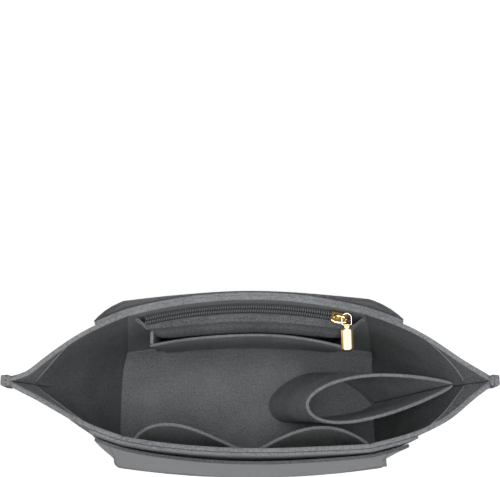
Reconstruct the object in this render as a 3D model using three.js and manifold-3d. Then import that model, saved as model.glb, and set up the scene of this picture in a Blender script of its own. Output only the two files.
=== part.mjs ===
// Felt purse organizer insert: an open felt bag with a flat floor, pinched ends, slip pockets,
// a bottle loop and a zipped pouch along its back rim.
// Millimetres. +X runs to the right along the floor, +Y to the back wall, +Z up.
// The origin is the middle of the floor's underside.
import * as THREE from 'three';
import Module from 'manifold-3d';
import { mergeVertices } from 'three/addons/utils/BufferGeometryUtils.js';

const wasm = await Module();
wasm.setup();

// Felt and clearances
const bodyFelt = 4;
const panelFelt = 3;
const seatGap = 0.3;
const sewnGap = 0.5;

// Floor, inside the walls
const floorHalfLength = 139;
const floorMidDepth = 68.4;
const floorCornerDepth = 57.2;
const leftEndBow = 3.5;
const rightEndDip = 3;
const baseCornerRadius = 7;

// Rim, inside the walls
const rimHeight = 215;
const rimTipX = 203.5;
const backRimDepth = 73.9;
const frontRimDepth = 57.7;
const leftCreaseX = 110.5;
const rightCreaseX = 104;
const backLeftCreaseDepth = 58.5;
const backRightCreaseDepth = 60.2;
const frontLeftCreaseDepth = 47.6;
const frontRightCreaseDepth = 54.3;

// How straight each half of an end wall runs from its crease to the pinched tip, at the rim
const backLeftPinchShare = 0.75;
const backRightPinchShare = 0.68;
const frontLeftPinchShare = 0.73;
const frontRightPinchShare = 0.45;

// The outer layers and outer pockets wrap onto the end walls as far as this share of their half width
const wrapFootShare = 0.93;
const wrapRimShare = 0.8;

// End tabs
const tabWidth = 10.6;
const tabReach = 8.5;
const tabHeight = 24;
const tabCorner = 2;

// Outer pockets; each drop is how far a top edge lies below the rim
const frontPocketDrop = 15;
const frontPocketBulge = 1.8;
const backPocketDrop = 15;
const backPocketBulge = 7.5;
const backPocketMidBulge = 0.4;

// Slip pockets on the inside of the front wall
const frontSlipDrop = 65;
const frontSlipFoot = 14;
const frontSlipMargin = 1.6;
const frontSlipMiddleX = 4;
const leftSlipBulge = 23.5;
const leftSlipPeakShare = 0.36;
const rightSlipBulge = 22.5;
const rightSlipPeakShare = 0.44;

// Zip: its line is an arc in plan, level, a little below the back rim; margins are from the pouch's ends
const zipDrop = 15;
const zipStandOff = 5.3;
const tapeThickness = 0.7;
const coilHeight = 2.4;
const coilHalfWidth = 3.5;
const zipSlot = 1.3;
const zipLeftMargin = 3.4;
const zipRightMargin = 5.2;
const stopLength = 2.2;
const stopRise = 0.5;
const tapeTail = 3;
const sliderRestMargin = 7.8;

// Zipped pouch on the back wall
const pouchMargin = 1;
const pouchReturn = 10.5;
const pouchFoot = 8;
const pouchDepth = 10.3;
const pouchEndNarrowing = 3.4;
const facingThickness = 2.4;
const facingSlope = 2;

// Open slip pocket in front of the pouch
const slipDrop = 12;
const slipDepth = 11.5;
const slipLeftMargin = 1.9;
const slipRightMargin = 3.4;

// Bottle loop at the right end
const loopDrop = 52;
const loopSeamRise = 12;
const loopTopTipX = 53;
const loopTopTipY = -14;
const loopTopWidth = 46;
const loopTopSeamY = 1.5;
const loopFootTipX = 21;
const loopFootTipY = -0.7;
const loopFootWidth = 58;
const loopFootSway = 8;

// Zip slider, link and pull tab
const sliderLength = 15;
const sliderPlate = 1.2;
const sliderFlange = 0.8;
const sliderClearance = 0.35;
const sliderWeb = 0.6;
const sliderWebLength = 5;
const bridgeLength = 12.4;
const bridgeShift = 1;
const bridgeWidth = 2.6;
const bridgeThickness = 1.2;
const bridgeOpening = 2.9;
const linkWire = 1.2;
const linkWidth = 8.7;
const linkLength = 10.6;
const linkSetback = 0.4;
const linkTilt = 9;
const linkYaw = 12;
const tabPullWidth = 10.8;
const tabPullLength = 27;
const tabPullThickness = 1.6;
const tabPullBevel = 1.1;
const tabPullBevelDepth = 0.4;
const tabPullCut = 2.2;
const tabNeckWidth = 5.2;
const tabNeckLength = 5.2;
const tabDrop = 30;
const tabYaw = 15;

// How the curved edges swell: a higher power keeps the swelling nearer one end
const endRoundPower = 4;
const backBulgePower = 1.6;
const slipEdgePower = 1.1;
const slipRisePower = 0.8;
const pouchEndPower = 4;
const loopRoundPower = 0.6;

// How finely the pieces are faceted
const wallColumns = 12;
const wallRows = 5;
const endColumns = 7;
const endSpacingPower = 1.2;
const pocketColumns = 12;
const pocketRows = 4;
const pouchColumns = 10;
const loopColumns = 24;
const loopRows = 5;
const zipColumns = 20;
const wireSides = 8;
const wireBendSteps = 10;
const eyeSides = 16;

// Colours
const feltGrey = 0x5b5c5f;
const darkFeltGrey = 0x4a4b4e;
const zipBlack = 0x2c2c2e;
const paleGold = 0xd9c9a3;

const organizer = new THREE.Group();

function feltMaterial(color) {
  return new THREE.MeshStandardMaterial({ color, roughness: 0.95, metalness: 0 });
}

function nylonMaterial() {
  return new THREE.MeshStandardMaterial({ color: zipBlack, roughness: 0.6, metalness: 0 });
}

function goldMaterial() {
  return new THREE.MeshStandardMaterial({ color: paleGold, roughness: 0.25, metalness: 1 });
}

function addPiece(name, geometry, material, parent = organizer) {
  const mesh = new THREE.Mesh(geometry, material);
  mesh.name = name;
  parent.add(mesh);
  return mesh;
}

const mix = THREE.MathUtils.lerp;

// A closed slab between two grids of points with the same rows and columns
function slab(nearGrid, farGrid) {
  const rows = nearGrid.length;
  const columns = nearGrid[0].length;
  const positions = [];
  for (const grid of [nearGrid, farGrid]) {
    for (const row of grid) {
      for (const point of row) {
        positions.push(point.x, point.y, point.z);
      }
    }
  }
  const near = (r, c) => r * columns + c;
  const far = (r, c) => rows * columns + r * columns + c;
  const index = [];
  const quad = (a, b, c, d) => index.push(a, b, c, a, c, d);
  for (let r = 0; r < rows - 1; r += 1) {
    for (let c = 0; c < columns - 1; c += 1) {
      quad(near(r, c), near(r, c + 1), near(r + 1, c + 1), near(r + 1, c));
      quad(far(r, c), far(r + 1, c), far(r + 1, c + 1), far(r, c + 1));
    }
    quad(near(r, 0), near(r + 1, 0), far(r + 1, 0), far(r, 0));
    quad(near(r, columns - 1), far(r, columns - 1), far(r + 1, columns - 1), near(r + 1, columns - 1));
  }
  for (let c = 0; c < columns - 1; c += 1) {
    quad(near(0, c), far(0, c), far(0, c + 1), near(0, c + 1));
    quad(near(rows - 1, c), near(rows - 1, c + 1), far(rows - 1, c + 1), far(rows - 1, c));
  }
  return facesOut(positions, index);
}

// Turns a closed mesh so that its faces point out
function facesOut(positions, index) {
  const corner = [new THREE.Vector3(), new THREE.Vector3(), new THREE.Vector3()];
  let volume = 0;
  for (let i = 0; i < index.length; i += 3) {
    corner.forEach((point, k) => point.fromArray(positions, index[i + k] * 3));
    volume += corner[0].dot(corner[1].clone().cross(corner[2]));
  }
  const faces = volume < 0 ? index.slice().reverse() : index;
  const geometry = new THREE.BufferGeometry();
  geometry.setAttribute('position', new THREE.Float32BufferAttribute(positions, 3));
  geometry.setIndex(faces);
  geometry.computeVertexNormals();
  return geometry;
}

function solidOf(geometry) {
  const bare = geometry.clone();
  bare.deleteAttribute('normal');
  bare.deleteAttribute('uv');
  const merged = mergeVertices(bare);
  return new wasm.Manifold(new wasm.Mesh({
    numProp: 3,
    vertProperties: new Float32Array(merged.attributes.position.array),
    triVerts: new Uint32Array(merged.index.array),
  }));
}

function geometryOf(solid) {
  const mesh = solid.getMesh();
  const geometry = new THREE.BufferGeometry();
  geometry.setAttribute('position', new THREE.Float32BufferAttribute(mesh.vertProperties, 3));
  geometry.setIndex(Array.from(mesh.triVerts));
  geometry.computeVertexNormals();
  return geometry;
}

function placedBox(x, y, z, width, depth, height) {
  return new THREE.BoxGeometry(width, depth, height).translate(x, y, z);
}

// The walls stand on the base panel and follow one closed line in plan, wider and pointed at the rim
const wallFoot = panelFelt + seatGap;

function riseOf(z) {
  return z / rimHeight;
}

const quarters = {
  backLeft: { side: -1, way: 1, depth: backLeftCreaseDepth, pinch: backLeftPinchShare },
  backRight: { side: 1, way: 1, depth: backRightCreaseDepth, pinch: backRightPinchShare },
  frontLeft: { side: -1, way: -1, depth: frontLeftCreaseDepth, pinch: frontLeftPinchShare },
  frontRight: { side: 1, way: -1, depth: frontRightCreaseDepth, pinch: frontRightPinchShare },
};

// How far out the crease between a long wall and an end wall stands at one height
function creaseXAt(side, z) {
  return mix(floorHalfLength, side < 0 ? leftCreaseX : rightCreaseX, riseOf(z));
}

function quarterOf(side, way) {
  return Object.values(quarters).find((quarter) => quarter.side === side && quarter.way === way);
}

// Inner face of a long wall; share runs from -1 at the left crease to 1 at the right crease
function longWallPoint(way, share, z) {
  const quarter = quarterOf(share < 0 ? -1 : 1, way);
  const rise = riseOf(z);
  const rimMid = way > 0 ? backRimDepth : frontRimDepth;
  const creaseX = creaseXAt(quarter.side, z);
  const middle = mix(floorMidDepth, rimMid, rise);
  const atCrease = mix(floorCornerDepth, quarter.depth, rise);
  return new THREE.Vector2(creaseX * share, way * (middle - (middle - atCrease) * share * share));
}

// Inner face of an end wall; share runs from 1 at the crease to 0 at the middle
function endWallPoint(side, way, share, z) {
  const quarter = quarterOf(side, way);
  const rise = riseOf(z);
  const creaseX = creaseXAt(side, z);
  const creaseY = mix(floorCornerDepth, quarter.depth, rise);
  const footX = floorHalfLength + (side < 0 ? leftEndBow : -rightEndDip);
  const tipX = mix(footX, rimTipX, rise);
  const pinch = quarter.pinch * rise;
  const fall = pinch * share + (1 - pinch) * share ** endRoundPower;
  return new THREE.Vector2(side * (creaseX + (tipX - creaseX) * (1 - fall)), way * creaseY * share);
}

// Shares of the end wall's half width, from the crease to the middle, with two steps under the wrap
function endShares(z) {
  const wrap = mix(wrapFootShare, wrapRimShare, riseOf(z));
  const shares = [1, (1 + wrap) / 2, wrap];
  const open = endColumns - 2;
  for (let i = 1; i < open; i += 1) {
    shares.push(wrap * (1 - i / open) ** endSpacingPower);
  }
  return shares;
}

// Stations of the whole ring, from the front left crease round by the right end
function ringStations() {
  const stations = [];
  const longWall = (way, from) => {
    for (let i = 1; i < wallColumns; i += 1) {
      const share = from * (1 - (2 * i) / wallColumns);
      stations.push({ kind: 'wall', share: Math.abs(share), at: (z) => longWallPoint(way, share, z) });
    }
  };
  const endWall = (side, firstWay) => {
    for (let i = 0; i < endColumns; i += 1) {
      stations.push({ kind: 'end', step: i, at: (z) => endWallPoint(side, firstWay, endShares(z)[i], z) });
    }
    stations.push({ kind: 'tip', at: (z) => endWallPoint(side, firstWay, 0, z) });
    for (let i = endColumns - 1; i >= 0; i -= 1) {
      stations.push({ kind: 'end', step: i, at: (z) => endWallPoint(side, -firstWay, endShares(z)[i], z) });
    }
  };
  longWall(-1, -1);
  endWall(1, -1);
  longWall(1, 1);
  endWall(-1, 1);
  return stations;
}

const ring = ringStations();

// Offsets the whole ring outwards at one height, mitred at every station
function ringOffset(z, distance) {
  const line = ring.map((station) => station.at(z));
  return line.map((point, i) => {
    const before = line[(i + line.length - 1) % line.length];
    const after = line[(i + 1) % line.length];
    const into = point.clone().sub(before).normalize();
    const out = after.clone().sub(point).normalize();
    const first = new THREE.Vector2(into.y, -into.x);
    const second = new THREE.Vector2(out.y, -out.x);
    const reach = typeof distance === 'function' ? distance(ring[i], z) : distance;
    return point.clone().add(first.clone().add(second).multiplyScalar(reach / (1 + first.dot(second))));
  });
}

function trimEnds(line, cut) {
  const trimmed = line.slice();
  const last = line.length - 1;
  trimmed[0] = line[0].clone().add(line[1].clone().sub(line[0]).setLength(cut));
  trimmed[last] = line[last].clone().add(line[last - 1].clone().sub(line[last]).setLength(cut));
  return trimmed;
}

// A felt panel along stations first to last of the ring, between two offsets and two heights
function ringPanel(first, last, nearOffset, farOffset, foot, top) {
  const grid = (offset) => {
    const rows = [];
    for (let r = 0; r <= wallRows; r += 1) {
      const z = mix(foot, top, r / wallRows);
      const line = ringOffset(z, offset);
      const part = [];
      for (let i = first; i <= last; i += 1) {
        part.push(line[(i + line.length) % line.length]);
      }
      rows.push(trimEnds(part, seatGap / 2).map((point) => new THREE.Vector3(point.x, point.y, z)));
    }
    return rows;
  };
  return slab(grid(nearOffset), grid(farOffset));
}

// Station numbers of the four creases; the wrap ends two stations past each crease
const frontRightCrease = wallColumns - 1;
const endStations = 2 * endColumns + 1;
const backRightCrease = frontRightCrease + endStations - 1;
const backLeftCrease = backRightCrease + wallColumns;
const frontLeftCrease = backLeftCrease + endStations - 1 - ring.length;
const wrapSteps = 2;

const bodyOuter = bodyFelt;
const layerInner = bodyOuter + seatGap;
const layerOuter = layerInner + panelFelt;
const pocketInner = layerOuter + seatGap;
const pocketOuter = pocketInner + panelFelt;

function addBase() {
  const halfLength = floorHalfLength + pocketOuter;
  const cornerY = floorCornerDepth + pocketOuter;
  const midY = floorMidDepth + pocketOuter;
  const shape = new THREE.Shape();
  const straightX = halfLength - baseCornerRadius;
  const straightY = cornerY - baseCornerRadius;
  const controlY = midY + (midY - cornerY);
  shape.moveTo(-straightX, -cornerY);
  shape.quadraticCurveTo(0, -controlY, straightX, -cornerY);
  shape.quadraticCurveTo(halfLength, -cornerY, halfLength, -straightY);
  shape.lineTo(halfLength, straightY);
  shape.quadraticCurveTo(halfLength, cornerY, straightX, cornerY);
  shape.quadraticCurveTo(0, controlY, -straightX, cornerY);
  shape.quadraticCurveTo(-halfLength, cornerY, -halfLength, straightY);
  shape.lineTo(-halfLength, -straightY);
  shape.quadraticCurveTo(-halfLength, -cornerY, -straightX, -cornerY);
  const settings = { depth: panelFelt, bevelEnabled: false, curveSegments: wallColumns };
  addPiece('base_panel', new THREE.ExtrudeGeometry(shape, settings), feltMaterial(feltGrey));
}

function addWalls() {
  const felt = feltMaterial(feltGrey);
  const dark = feltMaterial(darkFeltGrey);
  const wall = (name, first, last, near, far, material) => {
    addPiece(name, ringPanel(first, last, near, far, wallFoot, rimHeight), material);
  };
  wall('front_wall_inner', frontLeftCrease, frontRightCrease, 0, bodyOuter, felt);
  wall('right_end_wall', frontRightCrease, backRightCrease, 0, bodyOuter, dark);
  wall('back_wall_inner', backRightCrease, backLeftCrease, 0, bodyOuter, felt);
  wall('left_end_wall', backLeftCrease, frontLeftCrease + ring.length, 0, bodyOuter, dark);
  const frontEnds = [frontLeftCrease - wrapSteps, frontRightCrease + wrapSteps];
  const backEnds = [backRightCrease - wrapSteps, backLeftCrease + wrapSteps];
  wall('front_wall_outer', ...frontEnds, layerInner, layerOuter, felt);
  wall('back_wall_outer', ...backEnds, layerInner, layerOuter, felt);
}

// An outer pocket stands off the wall by its bulge at the top and lies on it at the foot and sides
function addOuterPocket(name, first, last, top, stand) {
  const bulge = (station, z) => stand(station) * (z - wallFoot) / (top - wallFoot);
  const near = (station, z) => pocketInner + bulge(station, z);
  const far = (station, z) => pocketOuter + bulge(station, z);
  const geometry = ringPanel(first, last, near, far, wallFoot, top);
  addPiece(name, geometry, feltMaterial(feltGrey));
}

const wrapStandShares = [1, 0.7, 0];

function frontStand(station) {
  return frontPocketBulge * (station.kind === 'wall' ? 1 : wrapStandShares[station.step] ?? 0);
}

function backStand(station) {
  if (station.kind === 'wall') {
    return mix(backPocketMidBulge, backPocketBulge, station.share ** backBulgePower);
  }
  return backPocketBulge * (wrapStandShares[station.step] ?? 0);
}

// A tab is felt folded round the pinched tip of an end wall, just under the rim
function addTab(name, side) {
  const firstCrease = side < 0 ? backLeftCrease : frontRightCrease;
  const lastCrease = firstCrease + endStations - 1;
  const tip = firstCrease + endColumns;
  const top = rimHeight - seatGap;
  const half = tabWidth / 2;
  const positions = [];
  const index = [];
  for (const z of [top - tabHeight, top]) {
    const innerX = ringOffset(z, 0)[tip].x + side * seatGap;
    const outerX = ringOffset(z, bodyOuter)[tip].x + side * tabReach;
    positions.push(innerX, half, z, outerX - side * tabCorner, half, z, outerX, half - tabCorner, z);
    positions.push(outerX, tabCorner - half, z, outerX - side * tabCorner, -half, z, innerX, -half, z);
  }
  const count = positions.length / 6;
  for (let i = 0; i < count; i += 1) {
    const next = (i + 1) % count;
    index.push(i, next, count + next, i, count + next, count + i);
  }
  for (let i = 1; i < count - 1; i += 1) {
    index.push(0, i + 1, i, count, count + i, count + i + 1);
  }
  const block = solidOf(facesOut(positions, index));
  const seam = ringPanel(firstCrease, lastCrease, 0, bodyOuter + seatGap, wallFoot, rimHeight);
  addPiece(name, geometryOf(block.subtract(solidOf(seam))), feltMaterial(feltGrey));
}

const frontSlipHeight = rimHeight - frontSlipDrop;

// Slip pocket on the front wall: flat at its foot and sides, its top edge bulging into the bag
function addFrontSlip(name, side, bulge, peakShare) {
  const outerX = creaseXAt(side, frontSlipHeight) - frontSlipMargin;
  const profile = (share) => {
    const rising = share / peakShare;
    const falling = (1 - share) / (1 - peakShare);
    return (rising * falling ** ((1 - peakShare) / peakShare)) ** slipEdgePower;
  };
  const grid = (offset) => {
    const lines = [];
    for (let r = 0; r <= pocketRows; r += 1) {
      const height = r / pocketRows;
      const z = mix(frontSlipFoot, frontSlipHeight, height);
      const line = [];
      for (let c = 0; c <= pocketColumns; c += 1) {
        const share = c / pocketColumns;
        const x = side * mix(outerX, frontSlipMiddleX, share);
        const reach = sewnGap + bulge * profile(share) * height ** slipRisePower;
        line.push(frontInside(x, z, reach + offset));
      }
      lines.push(line);
    }
    return lines;
  };
  addPiece(name, slab(grid(0), grid(panelFelt)), feltMaterial(feltGrey));
}

// A point at a plan distance inside the front wall's or back wall's inner face
function insideLongWall(way, x, z, distance) {
  const point = longWallPoint(way, x / creaseXAt(x < 0 ? -1 : 1, z), z);
  return new THREE.Vector3(point.x, point.y - way * distance, z);
}

function frontInside(x, z, distance) {
  return insideLongWall(-1, x, z, distance);
}

function backInside(x, z, distance) {
  return insideLongWall(1, x, z, distance);
}

// How round the back wall is in plan at one height
function backBendRadius(z) {
  const middle = longWallPoint(1, 0, z);
  const crease = longWallPoint(1, 1, z);
  return crease.x ** 2 / (2 * (middle.y - crease.y));
}

// The zip runs beside the back wall, and the other pieces of the pouch stand in front of it
const zipHeight = rimHeight - zipDrop;
const zipBendRadius = backBendRadius(zipHeight) - zipStandOff;
const zipMidY = backInside(0, zipHeight, zipStandOff).y;
const pouchFrontY = zipMidY - pouchDepth;
const slipHeight = zipHeight - slipDrop;
const slipFrontY = pouchFrontY - slipDepth;

// The pouch front hangs from the zip facing; its depth tapers down to its sewn foot
const tapeBottom = zipHeight - tapeThickness / 2;
const tapeTop = zipHeight + tapeThickness / 2;
const pouchTop = tapeBottom - facingSlope;
const zipAxisY = zipMidY - zipBendRadius;
const sliderHalfWidth = coilHalfWidth + sliderClearance + sliderFlange;
const pouchHalfLength = creaseXAt(1, zipHeight) - pouchMargin - pouchReturn;
const facingBottom = tapeTop + seatGap;
const zipLeftX = pouchHalfLength - zipLeftMargin;
const zipRightX = pouchHalfLength - zipRightMargin;

function pouchDepthAt(x) {
  const middle = backInside(0, pouchTop, 0).y - pouchFrontY;
  return middle - pouchEndNarrowing * (x / pouchHalfLength) ** pouchEndPower;
}

function pouchStations() {
  const stations = [{ x: -pouchHalfLength - pouchReturn, open: 0 }];
  for (let c = 0; c <= pouchColumns; c += 1) {
    stations.push({ x: mix(-pouchHalfLength, pouchHalfLength, c / pouchColumns), open: 1 });
  }
  stations.push({ x: pouchHalfLength + pouchReturn, open: 0 });
  return stations;
}

// Front face of the pouch, as a distance inside the back wall
function pouchReach(station, z) {
  const height = Math.max(0, (z - pouchFoot) / (pouchTop - pouchFoot));
  const flat = sewnGap + panelFelt;
  return mix(flat, pouchDepthAt(station.x), station.open * height);
}

function addPouchFront() {
  const stations = pouchStations();
  const grid = (offset) => {
    const lines = [];
    for (let r = 0; r <= pocketRows; r += 1) {
      const z = mix(pouchFoot, pouchTop, r / pocketRows);
      lines.push(stations.map((station) => backInside(station.x, z, pouchReach(station, z) - offset)));
    }
    return lines;
  };
  addPiece('pouch_front', slab(grid(0), grid(panelFelt)), feltMaterial(feltGrey));
}

function addFacing() {
  const stations = pouchStations();
  const front = (station) => backInside(station.x, pouchTop, pouchReach(station, pouchTop));
  const back = (station) => {
    if (!station.open) {
      return backInside(station.x, pouchTop, sewnGap);
    }
    const radius = zipBendRadius - sliderHalfWidth - seatGap;
    return new THREE.Vector3(station.x, zipAxisY + Math.sqrt(radius ** 2 - station.x ** 2), pouchTop);
  };
  const grid = (edge, bottom) => [bottom, bottom + facingThickness].map((z) => {
    return stations.map((station) => edge(station).setZ(z));
  });
  const sloped = slab(grid(front, facingBottom - facingSlope), grid(back, facingBottom));
  addPiece('zip_facing', sloped, feltMaterial(feltGrey));
}

function addSlipPocket() {
  const slipLeftX = pouchHalfLength - slipLeftMargin;
  const slipRightX = pouchHalfLength - slipRightMargin;
  const topReach = backInside(0, slipHeight, 0).y - slipFrontY;
  const footReach = sewnGap + 2 * panelFelt + seatGap;
  const reachAt = (z) => mix(footReach, topReach, (z - pouchFoot) / (slipHeight - pouchFoot));
  const grid = (offset) => {
    const lines = [];
    for (let r = 0; r <= pocketRows; r += 1) {
      const z = mix(pouchFoot, slipHeight, r / pocketRows);
      const line = [];
      for (let c = 0; c <= pouchColumns; c += 1) {
        line.push(backInside(mix(-slipLeftX, slipRightX, c / pouchColumns), z, reachAt(z) - offset));
      }
      lines.push(line);
    }
    return lines;
  };
  addPiece('slip_pocket_front', slab(grid(0), grid(panelFelt)), feltMaterial(feltGrey));
  const side = (name, outerX, innerX) => {
    const edge = (x) => {
      const lines = [];
      for (let r = 1; r <= pocketRows; r += 1) {
        const z = mix(pouchFoot, slipHeight, r / pocketRows);
        const front = reachAt(z) - panelFelt - seatGap;
        const back = pouchReach({ x, open: 1 }, z) + sewnGap;
        lines.push([backInside(x, z, front), backInside(x, z, back)]);
      }
      return lines;
    };
    addPiece(name, slab(edge(outerX), edge(innerX)), feltMaterial(feltGrey));
  };
  side('slip_pocket_left_side', -slipLeftX, -slipLeftX + panelFelt);
  side('slip_pocket_right_side', slipRightX, slipRightX - panelFelt);
}

// Bottle loop: a teardrop in plan whose two ends lie together at the right end wall's middle
function addBottleLoop() {
  const seamHalf = loopTopSeamY + panelFelt + 2 * seatGap;
  const seamX = (z) => endWallPoint(1, 1, seamHalf / floorCornerDepth, z).x - sewnGap - panelFelt / 2;
  const grid = (offset) => {
    const lines = [];
    for (let r = 0; r <= loopRows; r += 1) {
      const height = r / loopRows;
      const line = [];
      for (let c = 0; c <= loopColumns; c += 1) {
        const turn = (2 * Math.PI * c) / loopColumns;
        const along = (1 - Math.cos(turn)) / 2;
        const top = rimHeight - loopDrop + loopSeamRise * (1 - along) ** 2;
        const z = mix(wallFoot, top, height);
        const tipX = mix(loopFootTipX, loopTopTipX, height);
        const tipY = mix(loopFootTipY, loopTopTipY, height);
        const seamY = mix(0, loopTopSeamY, height);
        const width = mix(loopFootWidth, loopTopWidth, height) - panelFelt;
        const sway = mix(loopFootSway, 0, height) * Math.sin(Math.PI * along);
        const side = c <= loopColumns / 2 ? 1 : -1;
        const round = Math.sin(turn / 2) ** loopRoundPower;
        const half = (width / 2) * Math.abs(Math.sin(turn)) * round;
        const clear = (seatGap + panelFelt / 2) * (c === loopColumns / 2 ? 0 : side);
        const x = mix(seamX(z), tipX, along);
        line.push(new THREE.Vector3(x, mix(seamY, tipY, along) + sway + side * half + clear, z));
      }
      lines.push(offsetLine(line, offset));
    }
    return lines;
  };
  const half = panelFelt / 2;
  addPiece('bottle_holder', slab(grid(-half), grid(half)), feltMaterial(darkFeltGrey));
}

// Moves a line of points sideways in plan, mitred at every point
function offsetLine(line, distance) {
  return line.map((point, i) => {
    const before = line[Math.max(i - 1, 0)];
    const after = line[Math.min(i + 1, line.length - 1)];
    const into = new THREE.Vector2(point.x - before.x, point.y - before.y);
    const out = new THREE.Vector2(after.x - point.x, after.y - point.y);
    const first = (i === 0 ? out : into).clone().normalize();
    const second = (i === line.length - 1 ? into : out).clone().normalize();
    const normalA = new THREE.Vector2(first.y, -first.x);
    const normalB = new THREE.Vector2(second.y, -second.x);
    const shift = normalA.clone().add(normalB).multiplyScalar(distance / (1 + normalA.dot(normalB)));
    return new THREE.Vector3(point.x + shift.x, point.y + shift.y, point.z);
  });
}

// The zip's pieces are bent round one upright axis, so that the slider can follow them
function zipAngle(x) {
  return Math.asin(x / zipBendRadius);
}

function zipBand(fromX, toX, innerReach, outerReach, bottom, top, columns) {
  const grid = (reach) => [bottom, top].map((z) => {
    const line = [];
    for (let c = 0; c <= columns; c += 1) {
      const angle = mix(zipAngle(fromX), zipAngle(toX), c / columns);
      const radius = zipBendRadius + reach;
      line.push(new THREE.Vector3(radius * Math.sin(angle), zipAxisY + radius * Math.cos(angle), z));
    }
    return line;
  });
  return slab(grid(innerReach), grid(outerReach));
}

const coilBottom = tapeTop + seatGap;
const coilTop = coilBottom + coilHeight;

function addZip() {
  const slot = zipSlot / 2;
  const tapeFromX = -zipLeftX - tapeTail;
  const tapeToX = zipRightX + tapeTail;
  const wallReach = backInside(0, tapeTop, sewnGap).y - zipMidY;
  const facingReach = -sliderHalfWidth - seatGap;
  const tape = (name, inner, outer) => {
    const geometry = zipBand(tapeFromX, tapeToX, inner, outer, tapeBottom, tapeTop, zipColumns);
    addPiece(name, geometry, nylonMaterial());
  };
  tape('zip_tape_front', facingReach, -slot);
  tape('zip_tape_back', slot, wallReach);
  const coil = (name, inner, outer) => {
    const geometry = zipBand(-zipLeftX, zipRightX, inner, outer, coilBottom, coilTop, zipColumns);
    addPiece(name, geometry, nylonMaterial());
  };
  coil('zip_coil_front', -coilHalfWidth, -slot);
  coil('zip_coil_back', slot, coilHalfWidth);
  const stop = (name, fromX, inner, outer) => {
    const geometry = zipBand(fromX, fromX + stopLength, inner, outer, coilBottom, coilTop + stopRise, 1);
    addPiece(name, geometry, nylonMaterial());
  };
  stop('top_stop_front', zipRightX + seatGap, -coilHalfWidth, -slot);
  stop('top_stop_back', zipRightX + seatGap, slot, coilHalfWidth);
  stop('bottom_stop', -zipLeftX - seatGap - stopLength, -coilHalfWidth, coilHalfWidth);
}

// Slider: plates over and under the coils, joined by a thin web in the slot, with flanges and a bridge
const plateBottom = coilTop + sliderClearance;
const plateTop = plateBottom + sliderPlate;

function addSlider(parent) {
  const deep = 2 * sliderHalfWidth;
  const underTop = tapeBottom - sliderClearance;
  const webHeight = plateTop - underTop;
  const flangeBottom = coilBottom;
  const flangeHeight = plateTop - flangeBottom;
  const flangeY = sliderHalfWidth - sliderFlange / 2;
  const archHeight = bridgeOpening + bridgeThickness;
  const archMid = plateTop + archHeight / 2 - sliderPlate / 2;
  const pieces = [
    placedBox(0, 0, plateBottom + sliderPlate / 2, sliderLength, deep, sliderPlate),
    placedBox(0, 0, underTop - sliderPlate / 2, sliderLength, deep, sliderPlate),
    placedBox(0, 0, underTop + webHeight / 2 - sliderPlate / 2, sliderWebLength, sliderWeb, webHeight),
    placedBox(0, flangeY, flangeBottom + flangeHeight / 2, sliderLength, sliderFlange, flangeHeight),
    placedBox(0, -flangeY, flangeBottom + flangeHeight / 2, sliderLength, sliderFlange, flangeHeight),
    placedBox(bridgeShift, 0, archMid, bridgeLength, bridgeWidth, archHeight + sliderPlate),
  ];
  let body = solidOf(pieces[0]);
  for (const piece of pieces.slice(1)) {
    body = body.add(solidOf(piece));
  }
  const inside = bridgeLength - 2 * bridgeThickness;
  const hole = placedBox(bridgeShift, 0, plateTop + bridgeOpening / 2, inside, 2 * bridgeWidth, bridgeOpening);
  addPiece('zip_slider', geometryOf(body.subtract(solidOf(hole))), goldMaterial(), parent);
}

// A closed wire bent round a half circle at the back and straight across the front
function linkGeometry() {
  const radius = linkWidth / 2;
  const straight = linkLength - radius;
  const route = [];
  for (let i = 0; i <= wireBendSteps; i += 1) {
    const angle = (Math.PI * i) / wireBendSteps;
    route.push(new THREE.Vector2(radius * Math.cos(angle), radius * Math.sin(angle)));
  }
  const cut = linkWire;
  route.push(new THREE.Vector2(-radius, -straight + cut));
  route.push(new THREE.Vector2(-radius + cut, -straight));
  route.push(new THREE.Vector2(radius - cut, -straight));
  route.push(new THREE.Vector2(radius, -straight + cut));
  const positions = [];
  const index = [];
  const count = route.length;
  route.forEach((point, i) => {
    const before = route[(i + count - 1) % count];
    const after = route[(i + 1) % count];
    const into = point.clone().sub(before).normalize();
    const out = after.clone().sub(point).normalize();
    const normal = new THREE.Vector2(into.y + out.y, -into.x - out.x).divideScalar(1 + into.dot(out));
    for (let s = 0; s < wireSides; s += 1) {
      const angle = (2 * Math.PI * s) / wireSides;
      const across = (linkWire / 2) * Math.cos(angle);
      const up = (linkWire / 2) * Math.sin(angle);
      positions.push(point.x + normal.x * across, point.y + normal.y * across, up);
    }
  });
  const at = (i, s) => (i % count) * wireSides + (s % wireSides);
  for (let i = 0; i < count; i += 1) {
    for (let s = 0; s < wireSides; s += 1) {
      index.push(at(i, s), at(i, s + 1), at(i + 1, s + 1), at(i, s), at(i + 1, s + 1), at(i + 1, s));
    }
  }
  return facesOut(positions, index);
}

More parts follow.
